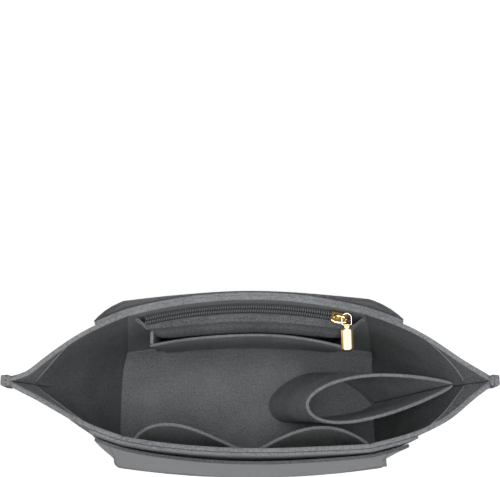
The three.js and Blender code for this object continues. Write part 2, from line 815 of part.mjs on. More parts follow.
// Flat tab with cut corners and bevelled edges, its neck holed for the link
function tabGeometry() {
  const shape = new THREE.Shape();
  const half = tabPullWidth / 2 - tabPullBevel / 2;
  const neck = tabNeckWidth / 2 - tabPullBevel / 2;
  const cut = tabPullCut;
  const foot = -tabPullLength + tabPullBevel / 2;
  shape.moveTo(-neck, 0);
  shape.lineTo(-neck, -tabNeckLength + cut);
  shape.lineTo(-half, -tabNeckLength - cut);
  shape.lineTo(-half, foot + cut);
  shape.lineTo(-half + cut, foot);
  shape.lineTo(half - cut, foot);
  shape.lineTo(half, foot + cut);
  shape.lineTo(half, -tabNeckLength - cut);
  shape.lineTo(neck, -tabNeckLength + cut);
  shape.lineTo(neck, 0);
  shape.closePath();
  const bevel = tabPullBevelDepth;
  const settings = {
    depth: tabPullThickness - 2 * bevel,
    bevelEnabled: true,
    bevelThickness: bevel,
    bevelSize: tabPullBevel / 2,
    bevelSegments: 1,
  };
  const plate = new THREE.ExtrudeGeometry(shape, settings).translate(0, 0, bevel - tabPullThickness / 2);
  const eyeRadius = linkWire / 2 + seatGap;
  const eyeY = -eyeRadius - bevel;
  const barrel = new THREE.CylinderGeometry(eyeRadius + bevel, eyeRadius + bevel, tabNeckWidth, eyeSides);
  barrel.rotateZ(Math.PI / 2).translate(0, eyeY, 0);
  const eye = new THREE.CylinderGeometry(eyeRadius, eyeRadius, 2 * tabNeckWidth, eyeSides);
  eye.rotateZ(Math.PI / 2).translate(0, eyeY, 0);
  const solid = solidOf(plate).add(solidOf(barrel)).subtract(solidOf(eye));
  return geometryOf(solid).translate(0, -eyeY, 0);
}

function addZipPull() {
  const carriage = new THREE.Group();
  carriage.position.set(0, zipAxisY, 0);
  carriage.rotation.z = -zipAngle(zipRightX - sliderRestMargin);
  organizer.add(carriage);
  const slider = new THREE.Group();
  slider.position.set(0, zipBendRadius, 0);
  carriage.add(slider);
  addSlider(slider);

  const swivel = new THREE.Group();
  const footX = bridgeShift + bridgeLength / 2 - bridgeThickness / 2;
  const tilt = THREE.MathUtils.degToRad(linkTilt);
  const lift = plateTop + sliderClearance + linkWire / 2 + (sliderHalfWidth + linkWire) * Math.tan(tilt);
  swivel.position.set(footX, -linkSetback, lift);
  swivel.rotation.z = THREE.MathUtils.degToRad(linkYaw);
  slider.add(swivel);
  const link = new THREE.Group();
  link.rotation.x = tilt;
  swivel.add(link);
  addPiece('pull_link', linkGeometry(), goldMaterial(), link);

  const eye = new THREE.Group();
  eye.position.set(0, -(linkLength - linkWidth / 2), 0);
  eye.rotation.z = THREE.MathUtils.degToRad(tabYaw - linkYaw);
  link.add(eye);
  const drop = new THREE.Group();
  drop.rotation.x = THREE.MathUtils.degToRad(tabDrop - linkTilt);
  eye.add(drop);
  addPiece('pull_tab', tabGeometry(), goldMaterial(), drop);
}

addBase();
addWalls();
addOuterPocket('front_outer_pocket', frontLeftCrease - wrapSteps, frontRightCrease + wrapSteps,
  rimHeight - frontPocketDrop, frontStand);
addOuterPocket('back_outer_pocket', backRightCrease - wrapSteps, backLeftCrease + wrapSteps,
  rimHeight - backPocketDrop, backStand);
addTab('left_end_tab', -1);
addTab('right_end_tab', 1);
addFrontSlip('front_slip_pocket_left', -1, leftSlipBulge, leftSlipPeakShare);
addFrontSlip('front_slip_pocket_right', 1, rightSlipBulge, rightSlipPeakShare);
addPouchFront();
addFacing();
addSlipPocket();
addBottleLoop();
addZip();
addZipPull();

export default organizer;
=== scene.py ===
import math

import bpy
import numpy as np
from mathutils import Matrix, Vector, noise


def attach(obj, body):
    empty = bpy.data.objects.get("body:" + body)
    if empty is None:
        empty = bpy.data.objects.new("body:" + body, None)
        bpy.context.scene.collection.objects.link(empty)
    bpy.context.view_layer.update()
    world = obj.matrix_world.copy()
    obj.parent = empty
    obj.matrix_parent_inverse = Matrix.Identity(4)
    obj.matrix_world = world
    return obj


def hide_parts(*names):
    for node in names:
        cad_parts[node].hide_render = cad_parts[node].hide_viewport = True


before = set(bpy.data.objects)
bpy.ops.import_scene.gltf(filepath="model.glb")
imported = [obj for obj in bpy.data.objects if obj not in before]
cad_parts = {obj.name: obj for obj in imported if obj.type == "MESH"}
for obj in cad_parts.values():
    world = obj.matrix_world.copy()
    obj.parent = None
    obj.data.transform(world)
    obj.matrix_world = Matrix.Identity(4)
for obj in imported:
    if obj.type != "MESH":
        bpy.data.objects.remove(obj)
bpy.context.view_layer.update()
scene = bpy.context.scene
scene.view_settings.view_transform = "Standard"

# Camera over the front wall, looking down through the open top.
# Its place and focal length are fitted to the rim, the floor and the zip in the photograph.
IMAGE_WIDTH = 500
FOCAL_PIXELS = 897.2
SENSOR_WIDTH = 36
CAMERA_PLACE = (-0.0001, -0.0986, 1.0163)
CAMERA_ELEVATION = 73.96


def add_object(name, data):
    """Puts an object with this camera, lamp or mesh in the scene."""
    added = bpy.data.objects.new(name, data)
    scene.collection.objects.link(added)
    return added


lens = bpy.data.cameras.new("overhead_camera")
lens.sensor_fit = "HORIZONTAL"
lens.sensor_width = SENSOR_WIDTH
lens.lens = SENSOR_WIDTH * FOCAL_PIXELS / IMAGE_WIDTH
camera = add_object("overhead_camera", lens)
camera.location = CAMERA_PLACE
camera.rotation_euler = (math.radians(90 - CAMERA_ELEVATION), 0, 0)
scene.camera = camera

# Pale studio floor and soft light. A panel lamp overhead lights what faces up, the rims and the
# floor, and leaves the steep end walls dim. A weaker one in front lights the outer pocket, and a
# very weak one stands at the front left. Places and sizes are in metres, and power in watts.
FLOOR_COLOUR = "#f7f7f6"
FLOOR_HALF = 4.0
FLOOR_LIFT = 0.5
WORLD_STRENGTH = 0.25


def linear(hex_colour):
    """An sRGB hex colour as linear red, green, blue and alpha."""
    channels = [int(hex_colour[i : i + 2], 16) / 255 for i in (1, 3, 5)]
    return [c / 12.92 if c < 0.04045 else ((c + 0.055) / 1.055) ** 2.4 for c in channels] + [1.0]


def blank_material(name):
    """A new material whose node tree is empty."""
    material = bpy.data.materials.new(name)
    material.use_nodes = True
    material.node_tree.nodes.clear()
    return material


def add_node(tree, kind, inputs=None, **settings):
    """Adds a node with its settings, and fills or links its inputs."""
    new = tree.nodes.new(kind)
    for name, value in settings.items():
        setattr(new, name, value)
    for socket, value in (inputs or {}).items():
        if isinstance(value, bpy.types.NodeSocket):
            tree.links.new(value, new.inputs[socket])
        else:
            new.inputs[socket].default_value = value
    return new


def add_mesh(name, vertices, faces, *materials):
    """Puts a mesh with its materials in the scene; its vertices are in metres."""
    mesh = bpy.data.meshes.new(name)
    mesh.from_pydata(vertices, [], faces)
    for material in materials:
        mesh.materials.append(material)
    return add_object(name, mesh)


world = bpy.data.worlds.new("studio")
world.use_nodes = True
sky = world.node_tree.nodes["Background"]
sky.inputs["Color"].default_value = linear("#ffffff")
sky.inputs["Strength"].default_value = WORLD_STRENGTH
scene.world = world
for name, power, size, place, target in (
    ("overhead_panel", 20, 0.8, (0.06, -0.2, 2.0), (0, 0, 0.1)),
    ("front_panel", 2.8, 0.9, (0.15, -1.35, 1.3), (0, 0, 0.12)),
    ("left_panel", 0.6, 0.35, (-0.79, -1.0, 1.05), (0, 0, 0.2)),
):
    panel_light = bpy.data.lights.new(name, "AREA")
    panel_light.energy = power
    panel_light.size = size
    lamp = add_object(name, panel_light)
    lamp.location = place
    lamp.rotation_euler = (Vector(target) - Vector(place)).to_track_quat("-Z", "Y").to_euler()

# Matt white paint. It glows a little for the camera alone, so that the ground looks as pale as a
# studio's and throws no more light on the felt.
floor_paint = blank_material("matt_white_studio_floor")
paint_tree = floor_paint.node_tree
seen = add_node(paint_tree, "ShaderNodeLightPath").outputs["Is Camera Ray"]
glow = add_node(paint_tree, "ShaderNodeMath", {0: seen, 1: FLOOR_LIFT}, operation="MULTIPLY")
shader = add_node(
    paint_tree,
    "ShaderNodeBsdfPrincipled",
    {
        "Base Color": linear(FLOOR_COLOUR),
        "Roughness": 0.9,
        "Emission Color": linear("#ffffff"),
        "Emission Strength": glow.outputs[0],
    },
)
add_node(paint_tree, "ShaderNodeOutputMaterial", {"Surface": shader.outputs["BSDF"]})
corners = [(x * FLOOR_HALF, y * FLOOR_HALF, 0) for x, y in ((-1, -1), (1, -1), (1, 1), (-1, 1))]
studio_floor = add_mesh("studio_floor", corners, [(0, 1, 2, 3)], floor_paint)

# Inner felt layer: needle-punched polyester felt 4 mm thick, one band that closes all round the bag.
# It turns sharp corners where the long walls meet the ends. Each end is pinched at the rim: the felt
# lies face to face in a short closed seam, and two soft folds run from the seam's foot to the rim.

# Sizes are in mm. In tables a side is -1 left or 1 right, and a way is -1 front or 1 back.
RIM_HEIGHT = 215
WALL_FOOT = 3.3
INNER_FELT = 4
OUTER_FELT = 3
SEAT_GAP = 0.3
SEWN_GAP = 0.5
FLOOR_HALF_LENGTH = 139
FLOOR_MID_DEPTH = 68.4
FLOOR_CORNER_DEPTH = 57.2
END_FOOTS = {-1: 142.5, 1: 136}
END_POWER = 4
RIM_TIP = 203.5
RIM_DEPTHS = {-1: 57.7, 1: 73.9}
CREASES = {-1: 110.5, 1: 104}
CREASE_DEPTHS = {(-1, 1): 58.5, (1, 1): 60.2, (-1, -1): 47.6, (1, -1): 54.3}
CREASE_NOTCH = 0.6
PINCHES = {(-1, 1): 0.75, (1, 1): 0.68, (-1, -1): 0.73, (1, -1): 0.45}
SEAM_FOOT = 150
SEAM_CLOSED = 200
SEAM_LENGTH = 11.2
SEAM_FELT = 4.1
SEAM_HALF_GAP = 0.25
TIP_THINNING = 1.6
TAIL_LENGTH = 9.5
TAIL_WIDTHS = {(-1, 1): 2.9, (1, 1): 14, (-1, -1): 12, (1, -1): 12}
TAIL_POWER = 1.6
FOLD_HEIGHT = 195
FOLD_FADE = 50
FOLD_RISES = {(-1, 1): 1.4, (1, 1): 0.6, (-1, -1): 3.0, (1, -1): 4.6}
FOLD_CREST = 0.8
CREST_SHARE = 0.013
FOLD_SHARES = {(-1, 1): 0.54, (1, 1): 0.6, (-1, -1): 0.72, (1, -1): 0.72}
FOLD_FOOT_SHARE = 0.05
GUIDE_SHARE = 0.3
GUIDE_DROP = 120

# Columns of the band's mesh, as shares of each wall or as numbers of steps.
WALL_SHARES = [-1, -0.992] + list(np.linspace(-0.972, 0.972, 69)) + [0.992, 1]
WRAP_STEPS = (0.08, 0.3, 0.55, 0.8, 1.0)
WRAP_FOOT_SHARE = 0.93
WRAP_RIM_SHARE = 0.8
GUSSET_STEPS = 29
FACET_STEPS = 12
SEAM_STEPS = 6
INNER_STEPS = FACET_STEPS + SEAM_STEPS
GATHER_STEPS = 5
TIP_STEPS = 2


def mix(a, b, share):
    """The value at a share of the way from a to b."""
    return a + (b - a) * share


def crease_x(side, z):
    """Where the long walls meet an end, at a height."""
    return mix(FLOOR_HALF_LENGTH, CREASES[side], z / RIM_HEIGHT)


def long_wall(way, share, z):
    """Inner face of the back (way 1) or front (way -1) wall; share runs from -1 to 1."""
    side = -1 if share < 0 else 1
    rise = z / RIM_HEIGHT
    middle = mix(FLOOR_MID_DEPTH, RIM_DEPTHS[way], rise)
    corner = mix(FLOOR_CORNER_DEPTH, CREASE_DEPTHS[side, way], rise)
    return (crease_x(side, z) * share, way * (middle - (middle - corner) * share**2))


def end_wall(side, way, share, z):
    """Inner face of an end wall; share runs from 1 at the crease to 0 at its middle."""
    rise = z / RIM_HEIGHT
    pinch = PINCHES[side, way] * rise
    fall = pinch * share + (1 - pinch) * share**END_POWER
    x = mix(crease_x(side, z), mix(END_FOOTS[side], RIM_TIP, rise), 1 - fall)
    return (side * x, way * mix(FLOOR_CORNER_DEPTH, CREASE_DEPTHS[side, way], rise) * share)


def over_folds(z):
    """0 up to the foot of the folds, and 1 at the rim."""
    return max(0.0, (z - FOLD_HEIGHT) / (RIM_HEIGHT - FOLD_HEIGHT))


def seam_closing(z):
    """0 low on an end wall, 1 where its halves lie face to face, and a smooth rise between."""
    share = min(1.0, max(0.0, (z - SEAM_FOOT) / (SEAM_CLOSED - SEAM_FOOT)))
    return share * share * (3 - 2 * share)


def fold_share(side, way, z):
    """Where the fold line crosses a height; under its foot it only guides the mesh."""
    if z > FOLD_HEIGHT:
        return mix(FOLD_FOOT_SHARE, FOLD_SHARES[side, way], over_folds(z))
    return mix(FOLD_FOOT_SHARE, GUIDE_SHARE, min(1.0, (FOLD_HEIGHT - z) / GUIDE_DROP))


def fold_rise(side, way, share, z):
    """How far the wall stands into the bag at a soft fold and on both sides of it."""
    along = share / FOLD_SHARES[side, way]
    if along >= 1:
        return 0.0
    height = 4 * FOLD_RISES[side, way] * along * (1 - along)
    ridge_z = mix(FOLD_HEIGHT, RIM_HEIGHT, along)
    if z >= ridge_z:
        return height * (RIM_HEIGHT - z) / (RIM_HEIGHT - ridge_z)
    return height * max(0.0, 1 - (ridge_z - z) / FOLD_FADE) ** 2


def seam_tail(side, way, x, y, z):
    """Over the folds, the two walls near the seam draw out into a tail towards the tab."""
    reach = TAIL_LENGTH * math.exp(-((abs(y) / TAIL_WIDTHS[side, way]) ** TAIL_POWER))
    return (x + side * reach * over_folds(z), y)


def half_end(side, way, z):
    """Plan points of half an end wall from its crease to its middle, and how far each stands in."""
    wrap = mix(WRAP_FOOT_SHARE, WRAP_RIM_SHARE, z / RIM_HEIGHT)
    fold = fold_share(side, way, z)
    facet = fold - CREST_SHARE
    shares = [mix(1, wrap, step) for step in WRAP_STEPS]
    shares += [mix(wrap, fold + CREST_SHARE, (k + 1) / GUSSET_STEPS) for k in range(GUSSET_STEPS)]
    shares += [fold, facet]
    points = [seam_tail(side, way, *end_wall(side, way, share, z), z) for share in shares]
    rises = [fold_rise(side, way, share, z) for share in shares]
    if z > FOLD_HEIGHT:
        rises[-2] += FOLD_CREST * math.sin(math.pi * over_folds(z)) ** 0.5
    closed = seam_closing(z)
    for k in range(1, INNER_STEPS + 1):
        flat = end_wall(side, way, facet * (1 - k / INNER_STEPS), z)
        share = facet * max(0.0, 1 - k / FACET_STEPS)
        plain = end_wall(side, way, share, z)
        x, y = seam_tail(side, way, *plain, z)
        x = mix(x, plain[0] + side * SEAM_LENGTH, max(0.0, k - FACET_STEPS) / SEAM_STEPS)
        y = way * math.hypot(y, SEAM_HALF_GAP) if k < INNER_STEPS else 0.0
        points.append((mix(flat[0], x, closed), mix(flat[1], y, closed)))
        rises.append(fold_rise(side, way, share, z) * closed)
    return points, rises


# Where the band's walls and corners lie in its ring of columns. A fold takes two columns.
WRAP = len(WRAP_STEPS)
HALF_END = WRAP + GUSSET_STEPS + 2 + INNER_STEPS
WALL_COLUMNS = len(WALL_SHARES)
FRONT_LEFT = 0
FRONT_RIGHT = WALL_COLUMNS - 1
RIGHT_TIP = FRONT_RIGHT + HALF_END
BACK_RIGHT = RIGHT_TIP + HALF_END
BACK_LEFT = BACK_RIGHT + WALL_COLUMNS - 1
LEFT_TIP = BACK_LEFT + HALF_END
RING = LEFT_TIP + HALF_END


def ring_plan(z):
    """The band's inner face in plan, from the front left corner round by the right end."""
    front = [long_wall(-1, share, z) for share in WALL_SHARES]
    back = [long_wall(1, share, z) for share in WALL_SHARES[::-1]]
    halves = {key: half_end(*key, z) for key in CREASE_DEPTHS}
    right = halves[1, -1][0] + halves[1, 1][0][-2::-1]
    left = halves[-1, 1][0] + halves[-1, -1][0][-2::-1]
    flat = [0.0] * WALL_COLUMNS
    rises = flat + halves[1, -1][1] + halves[1, 1][1][-2::-1] + flat
    rises += halves[-1, 1][1] + halves[-1, -1][1][-2::-1]
    return np.array(front + right + back + left), np.array(rises)


# At each point the mitre follows the two lines beside it, and a little the line across them, which
# keeps it steady in tight folds. Its limit stops long spikes at sharp corners.
MITRE_ACROSS = 0.2
MITRE_LIMIT = 0.62


def ring_normals(plan):
    """Outward mitre vectors of a closed plan line: a distance times one moves its point sideways."""
    ahead = np.roll(plan, -1, axis=0) - plan
    ahead /= np.linalg.norm(ahead, axis=1, keepdims=True)
    behind = np.roll(ahead, 1, axis=0)
    across = np.roll(plan, -1, axis=0) - np.roll(plan, 1, axis=0)
    across /= np.linalg.norm(across, axis=1, keepdims=True)
    bisector = ahead + behind + MITRE_ACROSS * across
    bisector /= np.linalg.norm(bisector, axis=1, keepdims=True)
    turn = (bisector * ahead).sum(axis=1)
    outward = np.stack((bisector[:, 1], -bisector[:, 0]), axis=1)
    return outward / np.maximum(MITRE_LIMIT, turn)[:, None]


def ring_grid(levels, distance, first=0, last=RING - 1):
    """Rows of points at an offset from the band's inner face, over part of its columns.
    The distance is one number, one number per column, or a function of height giving either."""
    columns = np.arange(first, last + 1) % RING
    grid = []
    for z in levels:
        plan, rises = ring_plan(z)
        reach = distance(z) if callable(distance) else distance
        offsets = np.zeros(RING)
        offsets[columns] = reach
        moved = plan + ring_normals(plan) * (offsets - rises)[:, None]
        grid.append([(x, y, z) for x, y in moved[columns]])
    return np.array(grid)


# How the felt swells and how its cut edges roughen, in mm; it swells less lengthwise. The edges are
# rounded in steps, given in degrees, and at most by nearly half the felt's thickness.
WAVE_SIZE = 55
WAVE_START = (7, 3, 11)
WAVE_LENGTHWISE_SHARE = 0.35
FRAY_SIZE = 2.6
FAR_TURNS = (30, 60, 90)
FULL_ROUND_SHARE = 0.97


def ripple(point, size):
    """Smooth noise from -1 to 1 at a place in mm, with swells of about one size."""
    return noise.noise(Vector(point) / size)


def unit(vectors):
    """The same directions, each one long."""
    return vectors / (np.linalg.norm(vectors, axis=-1, keepdims=True) + 1e-12)


def panel(name, near, far, rounding=(0.9, 0.9), sides=None, closed=False, wave=0.45, fray=0.3):
    """A panel between two grids of points in mm, with soft cut edges.
    Rows run upwards and columns to the right, seen from the far face; a closed panel's last
    column joins its first. The rounding is the near and the far edge's radius, and sides is the
    radius at the left and right edges. Faces have material 0, and cut edges material 1."""
    near = np.array(near, float)
    far = np.array(far, float)
    rows, columns = near.shape[:2]
    middle = (near + far) / 2
    for r in range(rows):
        for c in range(columns):
            shift = ripple(middle[r, c] + WAVE_START, WAVE_SIZE) * wave
            for face in (near, far, middle):
                face[r, c, 0] += shift * WAVE_LENGTHWISE_SHARE
                face[r, c, 1] += shift
    foot_out = unit(middle[0] - middle[1])
    top_out = unit(middle[-1] - middle[-2])
    left_out = unit(middle[:, 0] - middle[:, 1])
    right_out = unit(middle[:, -1] - middle[:, -2])
    side_scale = (sides or rounding[0]) / rounding[0]
    foot = [(0, c) for c in range(columns)]
    top = [(rows - 1, c) for c in range(columns - 1, -1, -1)]
    if closed:
        loops = [foot, top]
    else:
        right = [(r, columns - 1) for r in range(1, rows - 1)]
        left = [(r, 0) for r in range(rows - 2, 0, -1)]
        loops = [foot + right + top + left]
    count = rows * columns
    faces = []
    for r in range(rows - 1):
        for c in range(columns if closed else columns - 1):
            beside = (c + 1) % columns
            low, low_beside = r * columns + c, r * columns + beside
            high, high_beside = low + columns, low_beside + columns
            faces.append((low, low_beside, high_beside, high))
            faces.append((count + low, count + high, count + high_beside, count + low_beside))
    slots = [0] * len(faces)
    rounded = []
    start = 2 * count
    for loop in loops:
        outs = np.zeros((len(loop), 3))
        for i, (r, c) in enumerate(loop):
            outs[i] += foot_out[c] if r == 0 else top_out[c] if r == rows - 1 else 0
            if not closed and c in (0, columns - 1):
                outs[i] += (left_out[r] if c == 0 else right_out[r]) * side_scale
            nudge = outs[i] * fray * ripple(middle[r, c], FRAY_SIZE)
            near[r, c] += nudge
            far[r, c] += nudge
        near_edge = np.array([near[r, c] for r, c in loop])
        far_edge = np.array([far[r, c] for r, c in loop])
        across = unit(far_edge - near_edge)
        half = np.linalg.norm(far_edge - near_edge, axis=1) / 2
        arcs = []
        for edge, way, radius, turns in (
            (far_edge, -1, rounding[1], FAR_TURNS),
            (near_edge, 1, rounding[0], FAR_TURNS[::-1]),
        ):
            for turn in np.radians(turns):
                depth = np.minimum(radius, half * FULL_ROUND_SHARE) * (1 - math.cos(turn))
                arcs.append(edge + across * way * depth[:, None] - outs * radius * (1 - math.sin(turn)))
        for i, (r, c) in enumerate(loop):
            near[r, c] -= outs[i] * rounding[0]
            far[r, c] -= outs[i] * rounding[1]
        around = len(loop)
        border = [r * columns + c for r, c in loop]
        levels = [border] + [[start + k * around + i for i in range(around)] for k in range(len(arcs))]
        levels.append([count + i for i in border])
        for lower, upper in zip(levels, levels[1:]):
            for i in range(around):
                j = (i + 1) % around
                faces.append((lower[i], upper[i], upper[j], lower[j]))
                slots.append(1)
        rounded += arcs
        start += len(arcs) * around
    vertices = np.vstack([far.reshape(-1, 3), near.reshape(-1, 3)] + rounded) / 1000
    piece = add_mesh(name, vertices.tolist(), faces)
    piece.data.polygons.foreach_set("use_smooth", [True] * len(faces))
    piece.data.polygons.foreach_set("material_index", slots)
    piece.data.update()
    return piece


def both_faces(middle, thickness):
    """Near and far faces of an even panel about a grid of points."""
    middle = np.array(middle, float)
    out = unit(np.cross(np.gradient(middle, axis=1), np.gradient(middle, axis=0)))
    return middle - out * thickness / 2, middle + out * thickness / 2


# Real fibres are a few hundredths of a millimetre thick, too fine to show, so they are drawn as
# specks of half a millimetre. Tufts are small clumps of them, and clouds are the felt's paler and
# darker areas. All in mm.
FIBRE_SIZE = 0.5263
TUFT_SIZE = 1.923
CLOUD_SIZE = 45.45
CLOUD_STRENGTH = 0.35
NAP_DEPTH = 0.6


def felt_material(name, dark, light, fleck, fleck_share):
    """Needle-punched polyester felt: matt, of darker and paler fibres laid at random, so that it
    looks mottled from a step away and has small pale flecks of loose fibre near by."""
    material = blank_material(name)
    tree = material.node_tree
    place = add_node(tree, "ShaderNodeTexCoord").outputs["Object"]
    tufts, fibres, clouds = (
        add_node(
            tree,
            "ShaderNodeTexNoise",
            {"Vector": place, "Scale": 1000 / size, "Detail": detail, "Roughness": rough},
        ).outputs[0]
        for size, detail, rough in ((TUFT_SIZE, 4.0, 0.75), (FIBRE_SIZE, 2.0, 0.7), (CLOUD_SIZE, 3.0, 0.5))
    )
    nap = add_node(tree, "ShaderNodeMath", {0: tufts, 1: fibres}, operation="ADD").outputs[0]
    uneven = add_node(
        tree, "ShaderNodeMath", {0: clouds, 1: CLOUD_STRENGTH, 2: nap}, operation="MULTIPLY_ADD"
    )
    heather = add_node(
        tree, "ShaderNodeMapRange", {"Value": uneven.outputs[0], "From Min": 1.0, "From Max": 1.35}
    )
    specks = add_node(
        tree,
        "ShaderNodeMapRange",
        {"Value": fibres, "From Min": 0.6, "From Max": 0.7, "To Max": fleck_share},
    )
    # In a colour mix node, sockets 0, 6 and 7 are the factor and the two colours, and output 2 is
    # the result.
    mottled = add_node(
        tree,
        "ShaderNodeMix",
        {0: heather.outputs[0], 6: linear(dark), 7: linear(light)},
        data_type="RGBA",
    )
    flecked = add_node(
        tree,
        "ShaderNodeMix",
        {0: specks.outputs[0], 6: mottled.outputs[2], 7: linear(fleck)},
        data_type="RGBA",
    )
    fuzz = add_node(
        tree, "ShaderNodeBump", {"Height": nap, "Strength": 0.6, "Distance": NAP_DEPTH / 1000}
    )
    shader = add_node(
        tree,
        "ShaderNodeBsdfPrincipled",
        {
            "Base Color": flecked.outputs[2],
            "Roughness": 1.0,
            "Specular IOR Level": 0.1,
            "Sheen Weight": 0.15,
            "Sheen Roughness": 0.6,
            "Normal": fuzz.outputs["Normal"],
        },
    )
    add_node(tree, "ShaderNodeOutputMaterial", {"Surface": shader.outputs["BSDF"]})
    return material


# A felt's cut edge is paler and more even than its face. Paler felt along the crest of each fold is a
# painted highlight. The end walls, the pouch and its facing, and the outer pockets' cut edges take the
# felt darkened as painted shade. The bottle holder and the slip pockets take it paler and more
# speckled as painted light.
felt = felt_material("needle_punched_grey_polyester_felt", "#6a6c6f", "#919396", "#b6b8ba", 0.55)
cut_felt = felt_material("cut_edge_of_grey_felt", "#707275", "#a0a2a5", "#bcbec0", 0.6)
# A paler felt for the crests of the folds: painted highlight.
painted_fold_highlight_felt = felt_material("grey_felt_paled_as_painted_fold_highlight", "#8d8f92", "#b8babc", "#cacccd", 0.5)
# The same felt darkened: painted shade for steep, deep or overhung faces.
painted_shade_felt = felt_material("grey_felt_darkened_as_painted_shade", "#434548", "#7c7e81", "#acafb1", 0.8)
# The felt made paler and more speckled: painted light on faces that lie in shade.
painted_light_felt = felt_material("grey_felt_paled_as_painted_light", "#616366", "#a8aaad", "#cccecf", 0.8)


def dress(piece, *nodes, face=felt, edge=cut_felt, body="root", slot="felt"):
    """Gives a panel the materials of its faces and cut edges and its body, and puts it in place of its CAD
    nodes. The slot is not used."""
    piece.data.materials.append(face)
    piece.data.materials.append(edge)
    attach(piece, body)
    if nodes:
        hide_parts(*nodes)


def band_thickness(z):
    """The inner felt, a little thicker where it is gathered into the end seams."""
    away = np.array([min(abs(i - RIGHT_TIP), abs(i - LEFT_TIP)) for i in range(RING)])
    gathered = np.clip(1 - (away - SEAM_STEPS) / GATHER_STEPS, 0, 1) * seam_closing(z)
    return mix(INNER_FELT, SEAM_FELT, gathered) - TIP_THINNING * gathered * (away < TIP_STEPS)


LOW_LEVELS = 27
SEAM_LEVELS = 16
FOLD_LEVELS = 17
WALL_LEVELS = (
    list(np.linspace(WALL_FOOT, SEAM_FOOT - 2, LOW_LEVELS))
    + list(np.linspace(SEAM_FOOT + 1, FOLD_HEIGHT, SEAM_LEVELS))
    + list(np.linspace(FOLD_HEIGHT, RIM_HEIGHT, FOLD_LEVELS)[1:])
)
notches = np.zeros(RING)
notches[[FRONT_LEFT, FRONT_RIGHT, BACK_RIGHT, BACK_LEFT]] = CREASE_NOTCH
band = panel(
    "felt_inner_band",
    ring_grid(WALL_LEVELS, notches),
    ring_grid(WALL_LEVELS, band_thickness),
    rounding=(1.3, 0.3),
    closed=True,
)
dress(band, "front_wall_inner", "back_wall_inner", "left_end_wall", "right_end_wall")

# The end walls take the felt darkened as painted shade, material 2. Along the crest of each fold a
# paler felt is a painted highlight, material 3. The band's faces come in pairs, column by column.
band.data.materials.append(painted_shade_felt)
band.data.materials.append(painted_fold_highlight_felt)
column = np.arange(2 * (len(WALL_LEVELS) - 1) * RING) // 2 % RING
level = np.arange(len(column)) // (2 * RING)
at_end = ((column >= FRONT_RIGHT) & (column < BACK_RIGHT)) | (column >= BACK_LEFT)
# Faces along each fold's crest take the painted highlight.
crests = [tip + way * (INNER_STEPS + 1) for tip in (RIGHT_TIP, LEFT_TIP) for way in (-1, 1)]
on_crest = np.isin(column, crests + [crest - 1 for crest in crests])
on_crest &= level >= len(WALL_LEVELS) - FOLD_LEVELS
slots = np.ones(len(band.data.polygons), int)
slots[: len(column)] = np.where(on_crest, 3, np.where(at_end, 2, 0))
band.data.polygons.foreach_set("material_index", slots)

# Outer felt layer: 3 mm felt on the outside of both long walls, wrapped a little way round the
# corners and sewn to the inner layer. At the front rim its edge shows as a second line.
FRONT_SPAN = (FRONT_LEFT - WRAP, FRONT_RIGHT + WRAP)
BACK_SPAN = (BACK_RIGHT - WRAP, BACK_LEFT + WRAP)
for name, span, near_gap, far_gap, rounding in (
    ("front_wall_outer", FRONT_SPAN, SEAT_GAP, 2.7, (0.5, 0.7)),
    ("back_wall_outer", BACK_SPAN, 0.03, 3.3, (0.2, 1.2)),
):
    near = ring_grid(WALL_LEVELS, INNER_FELT + near_gap, *span)
    far = ring_grid(WALL_LEVELS, INNER_FELT + far_gap, *span)
    dress(panel("felt_" + name, near, far, rounding=rounding, sides=0.5), name)

# Floor: a flat felt panel under the walls, sewn to them all round, with a thin facing whose long
# edges turn up softly into the walls.
BASE_CORNER = 7
BASE_ROWS = 41
BASE_COLUMNS = 71
CORNER_STEPS = 7
FLOOR_FACING = 1
FILLET = 13
FILLET_RISE = 6
OUTER_REACH = INNER_FELT + SEAT_GAP + OUTER_FELT + SEAT_GAP + OUTER_FELT
base_length = FLOOR_HALF_LENGTH + OUTER_REACH
base_mid = FLOOR_MID_DEPTH + OUTER_REACH
base_end = FLOOR_CORNER_DEPTH + OUTER_REACH


def base_depth(x):
    """Half depth of the base panel at a place along it, with its rounded corners."""
    past = max(0.0, abs(x) - (base_length - BASE_CORNER))
    depth = mix(base_mid, base_end, (x / base_length) ** 2)
    return depth - BASE_CORNER + math.sqrt(BASE_CORNER**2 - past**2)


corner_turns = np.linspace(0, math.pi / 2, CORNER_STEPS)
left_corner = -base_length + BASE_CORNER * (1 - np.cos(corner_turns[:-1]))
straight = np.linspace(BASE_CORNER - base_length, base_length - BASE_CORNER, BASE_COLUMNS)
base_columns = np.concatenate((left_corner, straight, -left_corner[::-1]))
middle = []
for share in np.linspace(-1, 1, BASE_ROWS):
    middle.append([(x, base_depth(x) * share, OUTER_FELT / 2) for x in base_columns])
dress(panel("felt_base_panel", *both_faces(middle, OUTER_FELT), wave=0, fray=0.1), "base_panel")

FILLET_SHARES = np.linspace(0.79, 1, 15)
FLAT_SHARES = np.linspace(-0.77, 0.77, 27)
middle = []
for share in np.concatenate((-FILLET_SHARES[::-1], FLAT_SHARES, FILLET_SHARES)):
    way = -1 if share < 0 else 1
    left = end_wall(-1, way, abs(share), WALL_FOOT)[0] + SEAT_GAP
    right = end_wall(1, way, abs(share), WALL_FOOT)[0] - SEAT_GAP
    row = []
    for x in np.linspace(left, right, BASE_COLUMNS):
        depth = mix(FLOOR_MID_DEPTH, FLOOR_CORNER_DEPTH, (x / FLOOR_HALF_LENGTH) ** 2)
        past = max(0.0, abs(share) * depth - (depth - FILLET))
        lift = min(FILLET_RISE, FILLET - math.sqrt(max(0.0, FILLET**2 - past**2)))
        row.append((x, depth * share, OUTER_FELT + FLOOR_FACING / 2 + lift))
    middle.append(row)
dress(panel("felt_floor_facing", *both_faces(middle, FLOOR_FACING), rounding=(0.2, 0.2), wave=0, fray=0))

